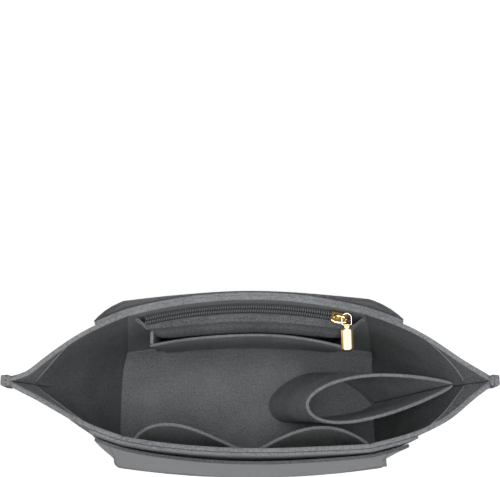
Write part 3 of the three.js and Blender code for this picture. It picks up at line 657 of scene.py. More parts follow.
# Outer pockets: panels of a paler, denser felt on the outside of both long walls, sewn down at the
# sides and the foot and open at the top. The front one lies almost flat. The back one lies flat
# along its middle, and its lip stands off near both corners.
POCKET_WRAP_POWER = 1.74
POCKET_LIP_ZONE = 24
POCKET_LIP_GAP = 2
POCKET_LEVELS = 30
LIP_LEVELS = 16
SEAM_INSET = 2
THREAD_LIFT = 0.1
FRONT_POCKET_SPAN = (FRONT_SPAN[0] + 1, FRONT_SPAN[1] - 1)
pocket_seat = INNER_FELT + SEAT_GAP + OUTER_FELT + SEAT_GAP
pale_felt = felt_material("dense_pale_grey_polyester_felt", "#8f9194", "#9b9da0", "#a5a7a9", 0.3)


def pocket_stand(mid, corner, power, steps=WRAP_STEPS):
    """How far an outer pocket's lip stands off the wall, at each of its columns."""
    wrap = [corner * (1 - step**POCKET_WRAP_POWER) for step in steps]
    return np.array(wrap[::-1] + [mix(mid, corner, abs(share) ** power) for share in WALL_SHARES] + wrap)


front_stand = pocket_stand(mid=2.4, corner=0.6, power=2, steps=WRAP_STEPS[:-1])
back_stand = pocket_stand(mid=0.8, corner=7, power=2.6)
pocket_seams = []
for name, span, top, stand, lip_power in (
    ("front_outer_pocket", FRONT_POCKET_SPAN, 200, front_stand, 3),
    ("back_outer_pocket", BACK_SPAN, 203, back_stand, 12),
):
    levels = list(np.linspace(WALL_FOOT, top - POCKET_LIP_ZONE, POCKET_LEVELS))
    levels += list(np.linspace(top - POCKET_LIP_ZONE + POCKET_LIP_GAP, top, LIP_LEVELS))
    reaches = {z: pocket_seat + stand * ((z - WALL_FOOT) / (top - WALL_FOOT)) ** lip_power for z in levels}
    near, far, sewn = (
        ring_grid(levels, lambda z: reaches[z] + lift, *span)
        for lift in (0, OUTER_FELT, OUTER_FELT + THREAD_LIFT)
    )
    pocket = panel("felt_" + name, near, far, rounding=(0.5, 0.7), sides=0.5)
    # The pocket's cut edges take the darkened felt: painted shade in the slit below the rim.
    dress(pocket, name, face=pale_felt, edge=painted_shade_felt)
    down = [tuple(point) for point in sewn[-SEAM_INSET : SEAM_INSET - 1 : -1, SEAM_INSET]]
    along = [tuple(point) for point in sewn[SEAM_INSET, SEAM_INSET + 1 : -SEAM_INSET - 1]]
    up = [tuple(point) for point in sewn[SEAM_INSET : 1 - SEAM_INSET, -SEAM_INSET - 1]]
    pocket_seams.append(down + along + up)

# End tabs: a short strip of felt folded round each pinched end of the rim, pressed flat and sewn
# through with one row of dark stitches.
TAB_HEIGHT = 24
TAB_WIDTH = 9.8
TAB_START = 214.4
TAB_END = 221.9
TAB_SHIFT = 0.8
TAB_RISE = 0.3
TAB_ROUNDING = 1.7
TAB_ROWS = 14
TAB_COLUMNS = 8
tab_top = RIM_HEIGHT + TAB_RISE
for name, side in (("left_end_tab", -1), ("right_end_tab", 1)):
    places = np.linspace(*sorted((side * TAB_START, side * TAB_END)), TAB_COLUMNS)
    heights = np.linspace(tab_top - TAB_HEIGHT, tab_top, TAB_ROWS)
    faces = both_faces([[(x, TAB_SHIFT, z) for x in places] for z in heights], TAB_WIDTH)
    block = panel("felt_" + name, *faces, rounding=(TAB_ROUNDING, TAB_ROUNDING), wave=0, fray=0.2)
    dress(block, name, face=cut_felt)

# Slip pockets on the inside of the front wall: patches sewn down at the foot and the sides, whose
# cut top edges arch into the bag. Each has its own margin from the corner, bulge and peak.
FRONT_SLIP_HEIGHT = 150
FRONT_SLIP_FOOT = 14
FRONT_SLIP_MIDDLE = 3
FRONT_SLIP_POWER = 0.8
FRONT_SLIP_COLUMNS = 45
PATCH_ROWS = 40


def inside_wall(way, x, z, distance):
    """A point inside a long wall, at a plan distance from its inner face."""
    y = long_wall(way, x / crease_x(-1 if x < 0 else 1, z), z)[1]
    return (x, y - way * distance, z)


for name, side, margin, bulge, peak_power in (
    ("front_slip_pocket_left", -1, 8.4, 22, 0.66),
    ("front_slip_pocket_right", 1, 1.6, 21.5, 0.84),
):
    outer_x = crease_x(side, FRONT_SLIP_HEIGHT) - margin
    middle = []
    for height in np.linspace(0, 1, PATCH_ROWS):
        z = mix(FRONT_SLIP_FOOT, FRONT_SLIP_HEIGHT, height)
        row = []
        for share in np.linspace(0, 1, FRONT_SLIP_COLUMNS):
            arch = math.sin(math.pi * share**peak_power)
            reach = SEWN_GAP + OUTER_FELT / 2 + bulge * arch * height**FRONT_SLIP_POWER
            row.append(inside_wall(-1, side * mix(outer_x, FRONT_SLIP_MIDDLE, share), z, reach))
        middle.append(row if side > 0 else row[::-1])
    # The slip pockets take the paler felt: painted light.
    dress(panel("felt_" + name, *both_faces(middle, OUTER_FELT)), name, face=painted_light_felt)

# Zipped pouch on the back wall: its front panel hangs from a felt facing that runs in front of the
# zip, and both ends turn back to the wall on a slant. The facing is stitched along its middle.
ZIP_HEIGHT = 200
ZIP_STAND_OFF = 5.3
TAPE_THICKNESS = 0.7
POUCH_MARGIN = 1
POUCH_RETURN = 10.5
POUCH_FOOT = 8
POUCH_DEPTH = 10.3
POUCH_NARROWING = 3.4
POUCH_NARROWING_POWER = 4
POUCH_FULLNESS = 8.2
POUCH_FULL_AT = 172
POUCH_FULL_SPREAD = 15
POUCH_FULL_POWER = 16
RETURN_COLUMNS = 9
POUCH_COLUMNS = 63
FACING_THICKNESS = 2.4
FACING_SLOPE = 2.0
FACING_GROOVE = 1.1
FACING_GROOVE_SHARE = 0.1
FACING_END_WIDTH = 3.4
FACING_LIP = 1.3
FACING_ROWS = 19
SLIDER_HALF_WIDTH = 4.65

wall_mid = long_wall(1, 0, ZIP_HEIGHT)[1]
wall_end_x, wall_end_y = long_wall(1, 1, ZIP_HEIGHT)
zip_radius = wall_end_x**2 / (2 * (wall_mid - wall_end_y)) - ZIP_STAND_OFF
zip_mid_y = wall_mid - ZIP_STAND_OFF
zip_axis_y = zip_mid_y - zip_radius
tape_top = ZIP_HEIGHT + TAPE_THICKNESS / 2
pouch_top = ZIP_HEIGHT - TAPE_THICKNESS / 2 - FACING_SLOPE
pouch_half = crease_x(1, ZIP_HEIGHT) - POUCH_MARGIN - POUCH_RETURN
pouch_front_y = zip_mid_y - POUCH_DEPTH
facing_z = tape_top + SEAT_GAP + FACING_THICKNESS / 2


def zip_point(x, reach, z):
    """A point beside the zip's line: reach is positive towards the back wall."""
    angle = math.asin(x / zip_radius)
    radius = zip_radius + reach
    return (radius * math.sin(angle), zip_axis_y + radius * math.cos(angle), z)


def pouch_stations():
    """Places along the pouch and how open it is there, from the left end to the right."""
    ends = np.linspace(0, 1, RETURN_COLUMNS)
    left = [(mix(-pouch_half - POUCH_RETURN, -pouch_half, share), share) for share in ends]
    middle = [(x, 1.0) for x in np.linspace(-pouch_half, pouch_half, POUCH_COLUMNS)[1:-1]]
    return left + middle + [(-x, share) for x, share in left[::-1]]


def pouch_reach(x, opened, z):
    """Front face of the pouch, as a distance inside the back wall."""
    narrowing = POUCH_NARROWING * (x / pouch_half) ** POUCH_NARROWING_POWER
    depth = inside_wall(1, 0, pouch_top, 0)[1] - pouch_front_y - narrowing
    height = max(0.0, (z - POUCH_FOOT) / (pouch_top - POUCH_FOOT))
    fullness = POUCH_FULLNESS * math.exp(-(((z - POUCH_FULL_AT) / POUCH_FULL_SPREAD) ** 2))
    fullness *= max(0.0, 1 - abs(x / pouch_half) ** POUCH_FULL_POWER)
    return mix(SEWN_GAP + OUTER_FELT, depth, opened * height) + fullness * opened


def facing_edges(x, opened):
    """Front and back edge of the facing, in y."""
    front = inside_wall(1, x, pouch_top, pouch_reach(x, opened, pouch_top))[1]
    back = zip_point(min(pouch_half, max(-pouch_half, x)), -SLIDER_HALF_WIDTH - SEAT_GAP, 0)[1]
    return front - FACING_LIP * opened, mix(front + FACING_END_WIDTH, back, opened**2)


middle = []
for z in np.linspace(POUCH_FOOT, pouch_top, PATCH_ROWS):
    row = []
    for x, opened in pouch_stations():
        row.append(inside_wall(1, x, z, pouch_reach(x, opened, z) - OUTER_FELT / 2))
    middle.append(row)
# The pouch front takes the darkened felt: painted shade under the facing.
dress(panel("felt_pouch_front", *both_faces(middle, OUTER_FELT)), "pouch_front", face=painted_shade_felt)

middle = []
for across in np.linspace(0, 1, FACING_ROWS):
    groove = FACING_GROOVE * math.exp(-(((across - 0.5) / FACING_GROOVE_SHARE) ** 2))
    row = []
    for x, opened in pouch_stations():
        front, back = facing_edges(x, opened)
        row.append((x, mix(front, back, across), facing_z - FACING_SLOPE * (1 - across) - groove))
    middle.append(row)
faces = both_faces(middle, FACING_THICKNESS)
facing = panel("felt_zip_facing", *faces, rounding=(0.5, 0.6), wave=0.1, fray=0.4)
# The facing takes the darkened felt too: painted shade.
dress(facing, "zip_facing", face=painted_shade_felt, edge=felt)

# Open slip pocket in front of the pouch: a felt panel with a narrow side wall at each end. Its top
# edge leans into the bag towards the right.
SLIP_HEIGHT = 188
SLIP_DEPTH = 13.2
SLIP_LEFT_MARGIN = 1.9
SLIP_RIGHT_MARGIN = 3.4
SLIP_RIGHT_LEAN = 3.2
SLIP_LEAN_POWER = 2.5
SLIP_SIDE_FOOT = 60
SLIP_FELT = 2.5
SLIP_COLUMNS = 59
SIDE_ROWS = 30
SIDE_COLUMNS = 9
slip_left = pouch_half - SLIP_LEFT_MARGIN
slip_right = pouch_half - SLIP_RIGHT_MARGIN
slip_top_reach = inside_wall(1, 0, SLIP_HEIGHT, 0)[1] - (pouch_front_y - SLIP_DEPTH)
slip_foot_reach = SEWN_GAP + 2 * OUTER_FELT + SEAT_GAP


def slip_reach(x, z):
    """Front face of the slip pocket, as a distance inside the back wall."""
    lean = SLIP_RIGHT_LEAN * (max(0.0, x) / slip_right) ** SLIP_LEAN_POWER
    return mix(slip_foot_reach, slip_top_reach + lean, (z - POUCH_FOOT) / (SLIP_HEIGHT - POUCH_FOOT))


middle = []
for z in np.linspace(POUCH_FOOT, SLIP_HEIGHT, PATCH_ROWS):
    places = np.linspace(-slip_left, slip_right, SLIP_COLUMNS)
    middle.append([inside_wall(1, x, z, slip_reach(x, z) - SLIP_FELT / 2) for x in places])
slip_front = panel("felt_slip_pocket_front", *both_faces(middle, SLIP_FELT))
# The slip pocket front takes the paler felt: painted light.
dress(slip_front, "slip_pocket_front", face=painted_light_felt, edge=felt)
for name, x in (
    ("slip_pocket_left_side", -slip_left + OUTER_FELT / 2),
    ("slip_pocket_right_side", slip_right - OUTER_FELT / 2),
):
    middle = []
    for z in np.linspace(SLIP_SIDE_FOOT, SLIP_HEIGHT, SIDE_ROWS):
        front = slip_reach(x, z) - SLIP_FELT - SEAT_GAP
        back = pouch_reach(x, 1.0, z) + SEAT_GAP
        middle.append([inside_wall(1, x, z, reach) for reach in np.linspace(front, back, SIDE_COLUMNS)])
    dress(panel("felt_" + name, *both_faces(middle, OUTER_FELT), wave=0.2), name)

# Bottle holder: one strip of felt bent to a teardrop, its two ends sewn together to the middle of
# the right end wall. Its top leans towards the front, and it rises to the seam.

# Pairs of values hold for the top and the foot, and the form is a straight blend between them.
LOOP_HEIGHT = 163
LOOP_SEAM_RISE = 19
LOOP_TIP_X = (54, 22)
LOOP_TIP_Y = (-15.8, 0.6)
LOOP_BACK = (21.7, 19.4)
LOOP_FRONT = (27.3, 37)
LOOP_SWAY = (1.6, 15.9)
LOOP_POWER = (0.87, 0.5)
LOOP_SEAM_Y = 0.7
LOOP_SEAM_SHARE = 0.09
LOOP_CLEARANCE = 0.12
LOOP_PRESSING = 1.3
LOOP_PRESSED_SHARE = 0.02
LOOP_ROWS = 44
LOOP_TURNS = np.linspace(2 * math.pi, 0, 121)


def loop_felt(along):
    """The strip's thickness; its two ends are pressed thin in the seam."""
    return OUTER_FELT - LOOP_PRESSING * math.exp(-along / LOOP_PRESSED_SHARE)


def loop_row(height):
    """The bottle holder's middle line at a share of its height."""
    tip_x, tip_y, to_back, to_front, sway, power = (
        mix(foot, top, height)
        for top, foot in (LOOP_TIP_X, LOOP_TIP_Y, LOOP_BACK, LOOP_FRONT, LOOP_SWAY, LOOP_POWER)
    )
    row = []
    for turn in LOOP_TURNS:
        along = (1 - math.cos(turn)) / 2
        z = mix(WALL_FOOT, LOOP_HEIGHT + LOOP_SEAM_RISE * (1 - along) ** 2, height)
        seam_x = end_wall(1, 1, LOOP_SEAM_SHARE, z)[0] - SEWN_GAP - OUTER_FELT / 2
        half = (to_back if turn <= math.pi else -to_front) * abs(math.sin(turn))
        side = half * math.sin(turn / 2) ** power
        clear = (LOOP_CLEARANCE + loop_felt(along) / 2) * math.cos(turn / 2)
        y = mix(LOOP_SEAM_Y, tip_y, along) + sway * math.sin(math.pi * along)
        row.append((mix(seam_x, tip_x, along), y + side + clear, z))
    return row


middle = [loop_row(height) for height in np.linspace(0, 1, LOOP_ROWS)]
pressed = np.array([loop_felt((1 - math.cos(turn)) / 2) for turn in LOOP_TURNS])[None, :, None]
holder = panel("felt_bottle_holder", *both_faces(middle, pressed), rounding=(0.6, 0.6), wave=0.3)
# The bottle holder takes the paler felt: painted light.
dress(holder, "bottle_holder", face=painted_light_felt)

# Zip tapes: two strips of woven polyester on an arc beside the back wall. The front one is sewn
# under the facing and the back one to the wall, and the slider's web runs in the slot between.
ZIP_SLOT = 1.3
TAPE_START = -97.6
TAPE_END = pouch_half - 2.2
TAPE_ROWS = 7
TAPE_COLUMNS = 61
RIB_SPACING = 1.2083


def plain_material(name, colour, roughness, metallic=0.0):
    """A material of one even colour and finish."""
    material = blank_material(name)
    inputs = {"Base Color": linear(colour), "Roughness": roughness, "Metallic": metallic}
    shader = add_node(material.node_tree, "ShaderNodeBsdfPrincipled", inputs)
    add_node(material.node_tree, "ShaderNodeOutputMaterial", {"Surface": shader.outputs["BSDF"]})
    return material


# Woven polyester: matt, dark, with fine ribs across the tape. A wave texture has 10 / pi bands to
# a metre for each unit of its scale.
tape_cloth = plain_material("woven_dark_polyester_zip_tape", "#37383a", 0.9)
tape_tree = tape_cloth.node_tree
place = add_node(tape_tree, "ShaderNodeTexCoord").outputs["Object"]
rib_scale = math.pi / 10 / (RIB_SPACING / 1000)
ribs = add_node(tape_tree, "ShaderNodeTexWave", {"Vector": place, "Scale": rib_scale}, bands_direction="X")
weave = add_node(
    tape_tree, "ShaderNodeBump", {"Height": ribs.outputs["Fac"], "Strength": 0.5, "Distance": 0.0002}
)
tape_tree.links.new(weave.outputs["Normal"], tape_tree.nodes["Principled BSDF"].inputs["Normal"])
for name, inner, outer in (
    ("zip_tape_front", -SLIDER_HALF_WIDTH - SEAT_GAP, -ZIP_SLOT / 2),
    ("zip_tape_back", ZIP_SLOT / 2, ZIP_STAND_OFF - SEWN_GAP),
):
    middle = []
    for reach in np.linspace(inner, outer, TAPE_ROWS):
        places = np.linspace(TAPE_START, TAPE_END, TAPE_COLUMNS)
        middle.append([zip_point(x, reach, ZIP_HEIGHT) for x in places])
    faces = both_faces(middle, TAPE_THICKNESS)
    tape = panel("woven_" + name, *faces, rounding=(0.2, 0.2), wave=0, fray=0)
    dress(tape, name, face=tape_cloth, edge=tape_cloth, slot="zip_tape")

# Zip coil: loops of bent nylon monofilament, the two rows meshed along the middle and sewn to the
# tapes by a row of small stitches at each side. The loops have the photograph's spacing.
COIL_HEIGHT = 2.4
COIL_HALF_WIDTH = 3.7
COIL_OVERLAP = 0.25
COIL_PITCH = 2.15
COIL_WIRE = 1.3
COIL_SLANT = 15
COIL_START = -96.3
COIL_END = pouch_half - 5.8
SEWING_REACHES = (-4.35, 4.3)
SEWING_SIZES = (COIL_PITCH, 1.2, 0.9, 0.7)
SEWING_LIFT = 0.25
ZIP_STEPS = 90


def bar_tree():
    """Geometry Nodes that set small rounded bars along a line at a pitch, turned to follow it."""
    tree = bpy.data.node_groups.new("bars_along_a_line", "GeometryNodeTree")
    face = tree.interface
    face.new_socket("Line", in_out="INPUT", socket_type="NodeSocketGeometry")
    for label in ("Pitch", "Length", "Width", "Height", "Slant"):
        face.new_socket(label, in_out="INPUT", socket_type="NodeSocketFloat")
    face.new_socket("Material", in_out="INPUT", socket_type="NodeSocketMaterial")
    face.new_socket("Bars", in_out="OUTPUT", socket_type="NodeSocketGeometry")
    given = add_node(tree, "NodeGroupInput").outputs
    curve = add_node(tree, "GeometryNodeMeshToCurve", {"Mesh": given["Line"]})
    spots = add_node(
        tree,
        "GeometryNodeCurveToPoints",
        {"Curve": curve.outputs[0], "Length": given["Pitch"]},
        mode="LENGTH",
    )
    heading = add_node(
        tree, "FunctionNodeAlignRotationToVector", {"Vector": spots.outputs["Tangent"]}, axis="X"
    )
    slant = add_node(tree, "ShaderNodeCombineXYZ", {"Z": given["Slant"]})
    turned = add_node(
        tree,
        "FunctionNodeRotateRotation",
        {"Rotation": heading.outputs["Rotation"], "Rotate By": slant.outputs[0]},
        rotation_space="LOCAL",
    )
    size = add_node(
        tree, "ShaderNodeCombineXYZ", {"X": given["Length"], "Y": given["Width"], "Z": given["Height"]}
    )
    bar = add_node(tree, "GeometryNodeMeshUVSphere", {"Segments": 10, "Rings": 6, "Radius": 0.5})
    copies = add_node(
        tree,
        "GeometryNodeInstanceOnPoints",
        {
            "Points": spots.outputs["Points"],
            "Instance": bar.outputs["Mesh"],
            "Rotation": turned.outputs["Rotation"],
            "Scale": size.outputs[0],
        },
    )
    real = add_node(tree, "GeometryNodeRealizeInstances", {"Geometry": copies.outputs["Instances"]})
    smooth = add_node(tree, "GeometryNodeSetShadeSmooth", {"Geometry": real.outputs["Geometry"]})
    painted = add_node(
        tree,
        "GeometryNodeSetMaterial",
        {"Geometry": smooth.outputs["Geometry"], "Material": given["Material"]},
    )
    add_node(tree, "NodeGroupOutput", {"Bars": painted.outputs["Geometry"]})
    return tree


bars = bar_tree()


def beads(name, lines, sizes, slant, material):
    """Sets bars along lines of points in mm and keeps the result as one plain mesh.
    The sizes are the pitch and a bar's length, width and height in mm, and the slant is in degrees."""
    points = []
    edges = []
    for line in lines:
        edges += [(len(points) + i, len(points) + i + 1) for i in range(len(line) - 1)]
        points += [tuple(np.array(point) / 1000) for point in line]
    path = bpy.data.meshes.new(name + "_line")
    path.from_pydata(points, edges, [])
    guide = add_object(name + "_line", path)
    modifier = guide.modifiers.new("bars", "NODES")
    modifier.node_group = bars
    keys = {item.name: item.identifier for item in bars.interface.items_tree if item.in_out == "INPUT"}
    for label, value in zip(("Pitch", "Length", "Width", "Height"), sizes):
        modifier[keys[label]] = value / 1000
    modifier[keys["Slant"]] = math.radians(slant)
    modifier[keys["Material"]] = material
    shown = guide.evaluated_get(bpy.context.evaluated_depsgraph_get())
    mesh = bpy.data.meshes.new_from_object(shown)
    mesh.name = name
    bpy.data.objects.remove(guide)
    return add_object(name, mesh)


# Nylon monofilament: smooth and half glossy, so that each loop has a soft highlight along its back.
nylon = plain_material("satin_grey_nylon_monofilament", "#7c7d80", 0.42)
coil_sizes = (COIL_PITCH, COIL_WIRE, COIL_HALF_WIDTH + COIL_OVERLAP, COIL_HEIGHT)
coil_z = tape_top + SEAT_GAP + COIL_HEIGHT / 2
for name, way, start in (
    ("zip_coil_front", -1, COIL_START),
    ("zip_coil_back", 1, COIL_START + COIL_PITCH / 2),
):
    reach = way * (COIL_HALF_WIDTH - COIL_OVERLAP) / 2
    line = [zip_point(x, reach, coil_z) for x in np.linspace(start, COIL_END, ZIP_STEPS)]
    coil = beads("nylon_" + name, [line], coil_sizes, COIL_SLANT * way, nylon)
    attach(coil, "root")
    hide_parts(name)
lines = []
for reach in SEWING_REACHES:
    places = np.linspace(COIL_START, COIL_END, ZIP_STEPS)
    lines.append([zip_point(x, reach, tape_top + SEWING_LIFT) for x in places])
sewing = beads("coil_sewing", lines, SEWING_SIZES, 0, nylon)
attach(sewing, "root")

# Zip stops: dark nylon blocks moulded on the tapes' edges, which close both ends of the coil. The
# nylon is smooth and dark, so the stops show only by a faint sheen.
STOP_HALF_WIDTH = 2.6
STOP_THICKNESS = 1.8
STOP_DROP = 0.4
STOP_MARGIN = 0.2
STOP_ROWS = 7
STOP_COLUMNS = 5
dark_nylon = plain_material("dark_moulded_nylon", "#2c2d2f", 0.5)
middle = []
for reach in np.linspace(-STOP_HALF_WIDTH, STOP_HALF_WIDTH, STOP_ROWS):
    places = np.linspace(TAPE_START + STOP_MARGIN, COIL_START - STOP_MARGIN, STOP_COLUMNS)
    middle.append([zip_point(x, reach, coil_z - STOP_DROP) for x in places])
faces = both_faces(middle, STOP_THICKNESS)
stop = panel("nylon_bottom_stop", *faces, rounding=(0.3, 0.3), wave=0, fray=0)
dress(stop, "bottom_stop", face=dark_nylon, edge=dark_nylon, slot="zip_nylon")
for name in ("top_stop_front", "top_stop_back"):
    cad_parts[name].data.materials.clear()
    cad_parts[name].data.materials.append(dark_nylon)

# Stitching: grey polyester thread, matt, so that it shows as a fine dotted line. One row lies in
# the groove of the facing, one goes round the sides and the foot of each outer pocket, and a dark
# one goes through each end tab. A stitch's sizes are its pitch, length, width and height.
STITCH = (3.0, 2.0, 0.7, 0.6)
STITCH_LIFT = 0.05
TAB_STITCH = (2.9, 1.9, 0.9, 0.9)
TAB_STITCH_X = 217
TAB_STITCH_INSET = 1.4
TAB_STITCH_END = 2
TAB_TOP_STEPS = 4
TAB_SIDE_STEPS = 9
FACING_STEPS = 121
thread = plain_material("grey_polyester_thread", "#7d7f82", 0.8)
dark_thread = plain_material("dark_grey_polyester_thread", "#2f3133", 0.8)
stitch_z = facing_z + (FACING_THICKNESS - FACING_SLOPE) / 2 - FACING_GROOVE + STITCH_LIFT
line = []
for x in np.linspace(-pouch_half, pouch_half, FACING_STEPS):
    line.append((x, mix(*facing_edges(x, 1.0), 0.5), stitch_z))
tab_lines = []
half = TAB_WIDTH / 2
for x in (-TAB_STITCH_X, TAB_STITCH_X):
    places = np.linspace(TAB_STITCH_INSET - half, half - TAB_STITCH_INSET, TAB_TOP_STEPS) + TAB_SHIFT
    tab_lines.append([(x, y, tab_top) for y in places])
    low = tab_top - TAB_HEIGHT + TAB_STITCH_END
    high = tab_top - TAB_STITCH_END
    for y in (TAB_SHIFT - half, TAB_SHIFT + half):
        tab_lines.append([(x, y, z) for z in np.linspace(low, high, TAB_SIDE_STEPS)])
for name, lines, sizes, colour in (
    ("facing_stitches", [line], STITCH, thread),
    ("outer_pocket_stitches", pocket_seams, STITCH, thread),
    ("end_tab_stitches", tab_lines, TAB_STITCH, dark_thread),
):
    stitching = beads(name, lines, sizes, 0, colour)
    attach(stitching, "root")

# Zip slider: die-cast zinc, polished and plated pale gold. Two plates hold the coils between side
# flanges, a thin web joins them in the slot, and a bridge arches over the top plate. Its sizes are
# along the zip, across it and up.
SLIDER_MARGIN = 13.0
SLIDER_LENGTH = 15
SLIDER_PLATE = 1.2
SLIDER_CLEARANCE = 0.35
SLIDER_BELLY = 1.7
SLIDER_BELLY_POWERS = (0.8, 1.3)
SLIDER_BACK_LIP = 0.3
SLIDER_TAPER = 0.8
SLIDER_TAPER_POWER = 3
PLATE_ROWS = 9
PLATE_COLUMNS = 17
BAR_STEPS = 4
BOTTOM_PLATE_SHARE = 0.78
FLANGE_THICKNESS = 0.8
FLANGE_INSET = 0.1
FLANGE_REAR = 0.4
FLANGE_NOSE = 1.5
FLANGE_SINK = 0.3
WEB_THICKNESS = 0.6
WEB_PLACES = (-2.5, -1, 1, 2.5)
BRIDGE_LENGTH = 12.4
BRIDGE_SHIFT = 1
BRIDGE_WIDTH = 2.6
BRIDGE_OPENING = 2.9
BRIDGE_SHOULDER = 2.2
BRIDGE_SINK = 0.5
BEND_STEPS = 7

# Plated zinc: a mirror-like metal that takes its look from what it reflects, with sharp bright
# glints on its edges. One gold plating is given two tones: the link and the pull tab's flat faces
# are paler, a painted highlight, and the slider and the tab's bevels darker, a painted dark
# reflection that reads as bronze.
gold = plain_material("gold_plating_darkened_as_painted_reflection", "#cfb070", 0.1, metallic=1.0)
pale_gold_painted_highlight = plain_material("gold_plating_paled_as_painted_highlight", "#f4dfce", 0.14, metallic=1.0)
slider_x = pouch_half - SLIDER_MARGIN
slider_turn = math.asin(slider_x / zip_radius)
slider_frame = Matrix.Translation(zip_point(slider_x, 0, 0)) @ Matrix.Rotation(-slider_turn, 4, "Z")
plate_low = tape_top + SEAT_GAP + COIL_HEIGHT + SLIDER_CLEARANCE
plate_top = plate_low + SLIDER_PLATE
under_top = ZIP_HEIGHT - TAPE_THICKNESS / 2 - SLIDER_CLEARANCE


def plated(name, body, middle, thickness, rounding, place=slider_frame):
    """A gold bar or plate about a grid of points in the slider's own directions."""
    middle = [[tuple(place @ Vector(point)) for point in row] for row in middle]
    faces = both_faces(middle, thickness)
    piece = panel(name, *faces, rounding=(rounding, rounding), wave=0, fray=0)
    dress(piece, face=gold, edge=gold, body=body, slot="gold_metal")
    return piece


half_length = SLIDER_LENGTH / 2
plan = []
peak_power, belly_power = SLIDER_BELLY_POWERS
for share in np.linspace(0, 1, PLATE_ROWS):
    row = []
    for x in np.linspace(-half_length, half_length, PLATE_COLUMNS):
        along = (x + half_length) / SLIDER_LENGTH
        belly = SLIDER_BELLY * math.sin(math.pi * along**peak_power) ** belly_power
        back = SLIDER_HALF_WIDTH + SLIDER_BACK_LIP - SLIDER_TAPER * along**SLIDER_TAPER_POWER
        row.append((x, mix(-SLIDER_HALF_WIDTH - belly, back, share)))
    plan.append(row)
for name, top, width_share in (
    ("slider_top_plate", plate_top, 1),
    ("slider_bottom_plate", under_top, BOTTOM_PLATE_SHARE),
):
    middle = [[(x, y * width_share, top - SLIDER_PLATE / 2) for x, y in row] for row in plan]
    plate = plated(name, "slider", middle, SLIDER_PLATE, 0.5)
    if name == "slider_top_plate":
        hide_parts("zip_slider")
flange_y = SLIDER_HALF_WIDTH - FLANGE_THICKNESS / 2 - FLANGE_INSET
for name, y in (("slider_back_flange", flange_y), ("slider_front_flange", -flange_y)):
    middle = []
    for z in np.linspace(tape_top + SEAT_GAP, plate_top - FLANGE_SINK, BAR_STEPS + 1):
        places = np.linspace(-half_length + FLANGE_REAR, half_length - FLANGE_NOSE, PLATE_ROWS)
        middle.append([(x, y, z) for x in places])
    plated(name, "slider", middle, FLANGE_THICKNESS, 0.3)
middle = [[(x, 0, z) for x in WEB_PLACES] for z in np.linspace(under_top, plate_low, BAR_STEPS)]
plated("slider_web", "slider", middle, WEB_THICKNESS, 0.1)

# The bridge's left half, from its foot over the shoulder to the middle, is mirrored.
bridge_left = BRIDGE_SHIFT - BRIDGE_LENGTH / 2 + SLIDER_PLATE / 2
bridge_right = BRIDGE_SHIFT + BRIDGE_LENGTH / 2 - SLIDER_PLATE / 2
arch_top = plate_top + BRIDGE_OPENING + SLIDER_PLATE / 2
shoulder_z = arch_top - BRIDGE_SHOULDER
upright = np.linspace(plate_top - BRIDGE_SINK, shoulder_z, BAR_STEPS)
arch = [(bridge_left, 0, z) for z in upright[:-1]]
for angle in np.radians(np.linspace(180, 90, BEND_STEPS)):
    x = bridge_left + BRIDGE_SHOULDER * (1 + math.cos(angle))
    arch.append((x, 0, shoulder_z + BRIDGE_SHOULDER * math.sin(angle)))
span = np.linspace(bridge_left + BRIDGE_SHOULDER, bridge_right - BRIDGE_SHOULDER, BAR_STEPS + 2)
arch += [(x, 0, arch_top) for x in span[1 : len(span) // 2]]
arch += [(bridge_left + bridge_right - x, 0, z) for x, y, z in arch[::-1]]
ROD_SIDES = 14


def rod(name, body, path, axis, sizes, closed, place, metal):
    """A rod along a flat path; its two half sizes are in the path's plane and along the axis."""
    path = [Vector(point) for point in path]
    count = len(path)
    vertices = []
    for i, point in enumerate(path):
        before = path[i - 1] if closed or i else point
        after = path[(i + 1) % count] if closed or i < count - 1 else point
        sideways = (after - before).normalized().cross(axis)
        for angle in np.linspace(0, 2 * math.pi, ROD_SIDES, endpoint=False):
            local = point + sideways * (sizes[0] * math.cos(angle)) + axis * (sizes[1] * math.sin(angle))
            vertices.append(tuple((place @ local) / 1000))
    faces = []
    for i in range(count if closed else count - 1):
        here = i * ROD_SIDES
        there = (i + 1) % count * ROD_SIDES
        for k in range(ROD_SIDES):
            ahead = (k + 1) % ROD_SIDES
            faces.append((here + k, there + k, there + ahead, here + ahead))
    if not closed:
        faces.append(tuple(range(ROD_SIDES)))
        faces.append(tuple(range((count - 1) * ROD_SIDES, count * ROD_SIDES))[::-1])
    piece = add_mesh(name, vertices, faces, metal)
    piece.data.polygons.foreach_set("use_smooth", [len(face) == 4 for face in faces])
    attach(piece, body)
    return piece


bridge_sizes = (SLIDER_PLATE / 2, BRIDGE_WIDTH / 2)
rod("slider_bridge", "slider", arch, Vector((0, 1, 0)), bridge_sizes, False, slider_frame, gold)

# Link: a closed loop of gold-plated wire round the bridge's right foot, free to swing on it. It has
# a round end and a square one, whose straight side carries the pull tab.
LINK_WIRE = 1.3
LINK_WIDTH = 8.7
LINK_LENGTH = 10.6
LINK_SETBACK = 0.4
LINK_TILT = 9
LINK_YAW = 12
LINK_BEND = 1.6
LINK_ROUND_STEPS = 33
LINK_SIDE_STEPS = 8
tilt = math.radians(LINK_TILT)
lift = plate_top + SLIDER_CLEARANCE + LINK_WIRE / 2 + (SLIDER_HALF_WIDTH + LINK_WIRE) * math.tan(tilt)
link_frame = slider_frame @ Matrix.Translation((bridge_right, -LINK_SETBACK, lift))
link_frame = link_frame @ Matrix.Rotation(math.radians(LINK_YAW), 4, "Z") @ Matrix.Rotation(tilt, 4, "X")
radius = LINK_WIDTH / 2
straight = LINK_LENGTH - radius
bend_y = LINK_BEND - straight
wire = []
for angle in np.linspace(0, math.pi, LINK_ROUND_STEPS):
    wire.append((radius * math.cos(angle), radius * math.sin(angle), 0))
